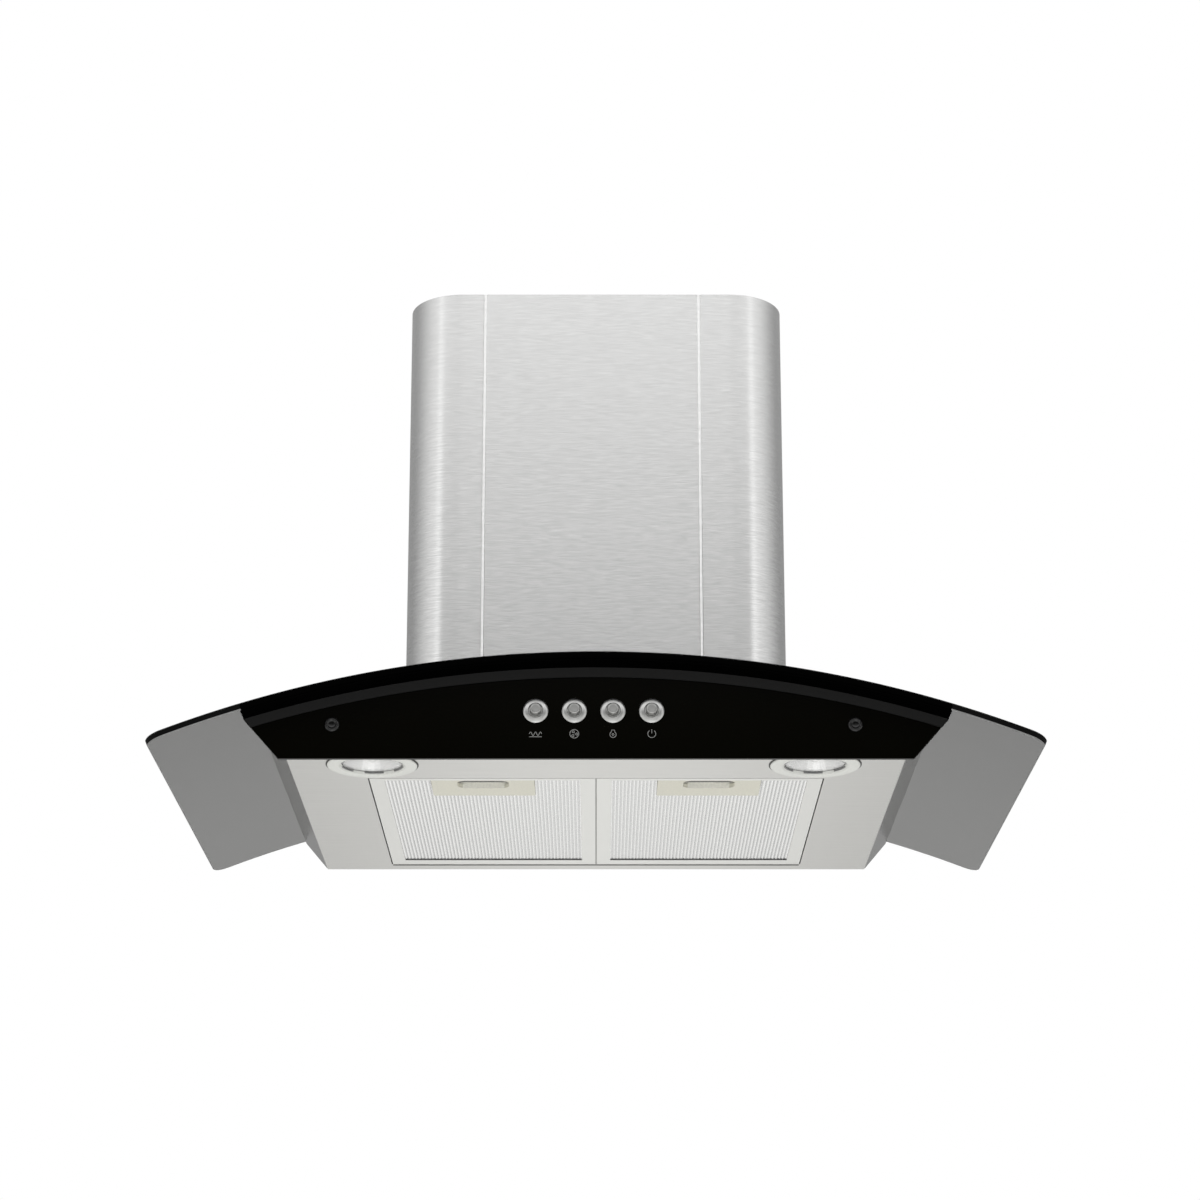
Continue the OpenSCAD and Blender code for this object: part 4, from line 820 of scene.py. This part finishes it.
for side in ("left", "right"):
    body = "filter_" + side
    frame_piece = finished_copy("filter_frame_" + side, "frame_" + side, bevel=0.5 * mm)
    add_piece(frame_piece, body, filter_aluminium, "aluminium", "filter_frame_" + side)
    centres, normals = face_data(frame_piece)
    low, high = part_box("filter_frame_" + side)
    rear_half, off_tabs = centres[:, 1] > (low[1] + high[1]) / 2, centres[:, 1] < high[1] - 5 * mm
    # Forward-facing faces in the rear half of the frame, off its tabs, are painted dark: painted shadow.
    paint_faces(frame_piece, rear_half & off_tabs & (normals[:, 1] < -0.7), shadow_edge)
    low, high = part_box("filter_mesh_" + side)
    grip_low, grip_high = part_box("filter_grip_" + side)
    notch_x, notch_y = grip_high[0] - (low[0] + high[0]) / 2 + grip_play, grip_high[1] + grip_play
    mesh_sheet = corrugated(low, high, notch_x, notch_y, mesh_pitch, mesh_rise, 0.4 * mm)
    mesh_piece = build("mesh_" + side, mesh_sheet, sharp=60.0)
    add_piece(mesh_piece, body, mesh_aluminium_painted_shade, "aluminium", "filter_mesh_" + side)
    grip = finished_copy("filter_grip_" + side, "grip_" + side, grip_bevel)
    add_piece(grip, body, cream, "cream_plastic", "filter_grip_" + side)
    centres, normals = face_data(grip)
    from_middle, above = centres[:, 0] - (grip_low[0] + grip_high[0]) / 2, centres[:, 2] - grip_low[2]
    painted_light_in_slot = (np.abs(from_middle) < slot_half) & (above > grip_bevel) & (np.abs(normals[:, 0]) < 0.5)
    paint_faces(grip, painted_light_in_slot, slot_cream_painted_light)
    latch_pad = finished_copy("filter_latch_" + side, "latch_pad_" + side, bevel=0.3 * mm)
    add_piece(latch_pad, "latch_" + side, latch_painted_shadow, "cream_plastic", "filter_latch_" + side)

left_low, left_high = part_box("filter_frame_left")
right_low, right_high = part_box("filter_frame_right")
tab_length, rim_gap = 7 * mm, 0.9 * mm
rim_y = left_high[1] - tab_length
rear_y = rim_y + rim_gap
# A dark strip stands in the gap behind the filters, reaching 0.7 mm below the underside: painted shadow.
shadow_strip_width, shadow_strip_height = 0.8, 0.7
rear_line = np.array([(left_low[0], rear_y), (right_high[0], rear_y)])
rear_strip = stroke(rear_line / mm, shadow_strip_width, shadow_strip_height) * mm + (0, 0, underside - shadow_strip_height * mm)
add_piece(build("rear_shadow_strip", rear_strip), "hood", painted_shadow_black, "black_rail")
# A grey strip fills the gap between the filters: painted shade.
seam_painted_shade_grey = grained("seam_painted_shade_grey", (0.3, 0.3, 0.29), 0.5)
seam_x, seam_gap = (left_high[0] + right_low[0]) / 2, right_low[0] - left_high[0]
seam_play, seam_height, seam_lift = 0.2 * mm, 3.0, 0.3 * mm
seam_line = np.array([(seam_x, left_low[1] - 1 * mm), (seam_x, rim_y + 1 * mm)])
seam = stroke(seam_line / mm, (seam_gap - seam_play) / mm, seam_height) * mm + (0, 0, underside + seam_lift)
add_piece(build("middle_shadow_strip", seam), "hood", seam_painted_shade_grey, "stainless")


# Blower and wall fixing
# Zinc-coated boxes, brackets and screws, a moulded fan wheel and collar, and the parts of the wiring. The
# rubber strip lies between glass and body.

rubber = grained("rubber", (0.02, 0.02, 0.02), 0.6)
dress(rubber, "glass_gasket")
dark_plastic = grained("dark_plastic", (0.03, 0.03, 0.032), 0.45)
dress(dark_plastic, "switch_block", "inlet_rings", "fan_wheel", "terminal_box", "cable_gland", "duct_collar")
aluminium = grained("aluminium", (0.84, 0.84, 0.83), 0.3, **{"Metallic": 1.0})
dress(aluminium, "damper_flap_front", "damper_flap_rear", "run_capacitor")
zinc = grained("zinc", (0.6, 0.61, 0.62), 0.4, scale=120.0, mottle=0.12, **{"Metallic": 1.0})
dress(zinc, "blower_front", "blower_rear", "blower_side_left", "blower_side_right", "blower_top",
      "wall_bracket", "hanger_plate", "chimney_bracket", "motor_bracket",
      "scroll_wrap", "scroll_side_left", "scroll_side_right",
      "glass_screws", "chimney_screws", "fan_shaft", "fan_motor", "damper_pin")
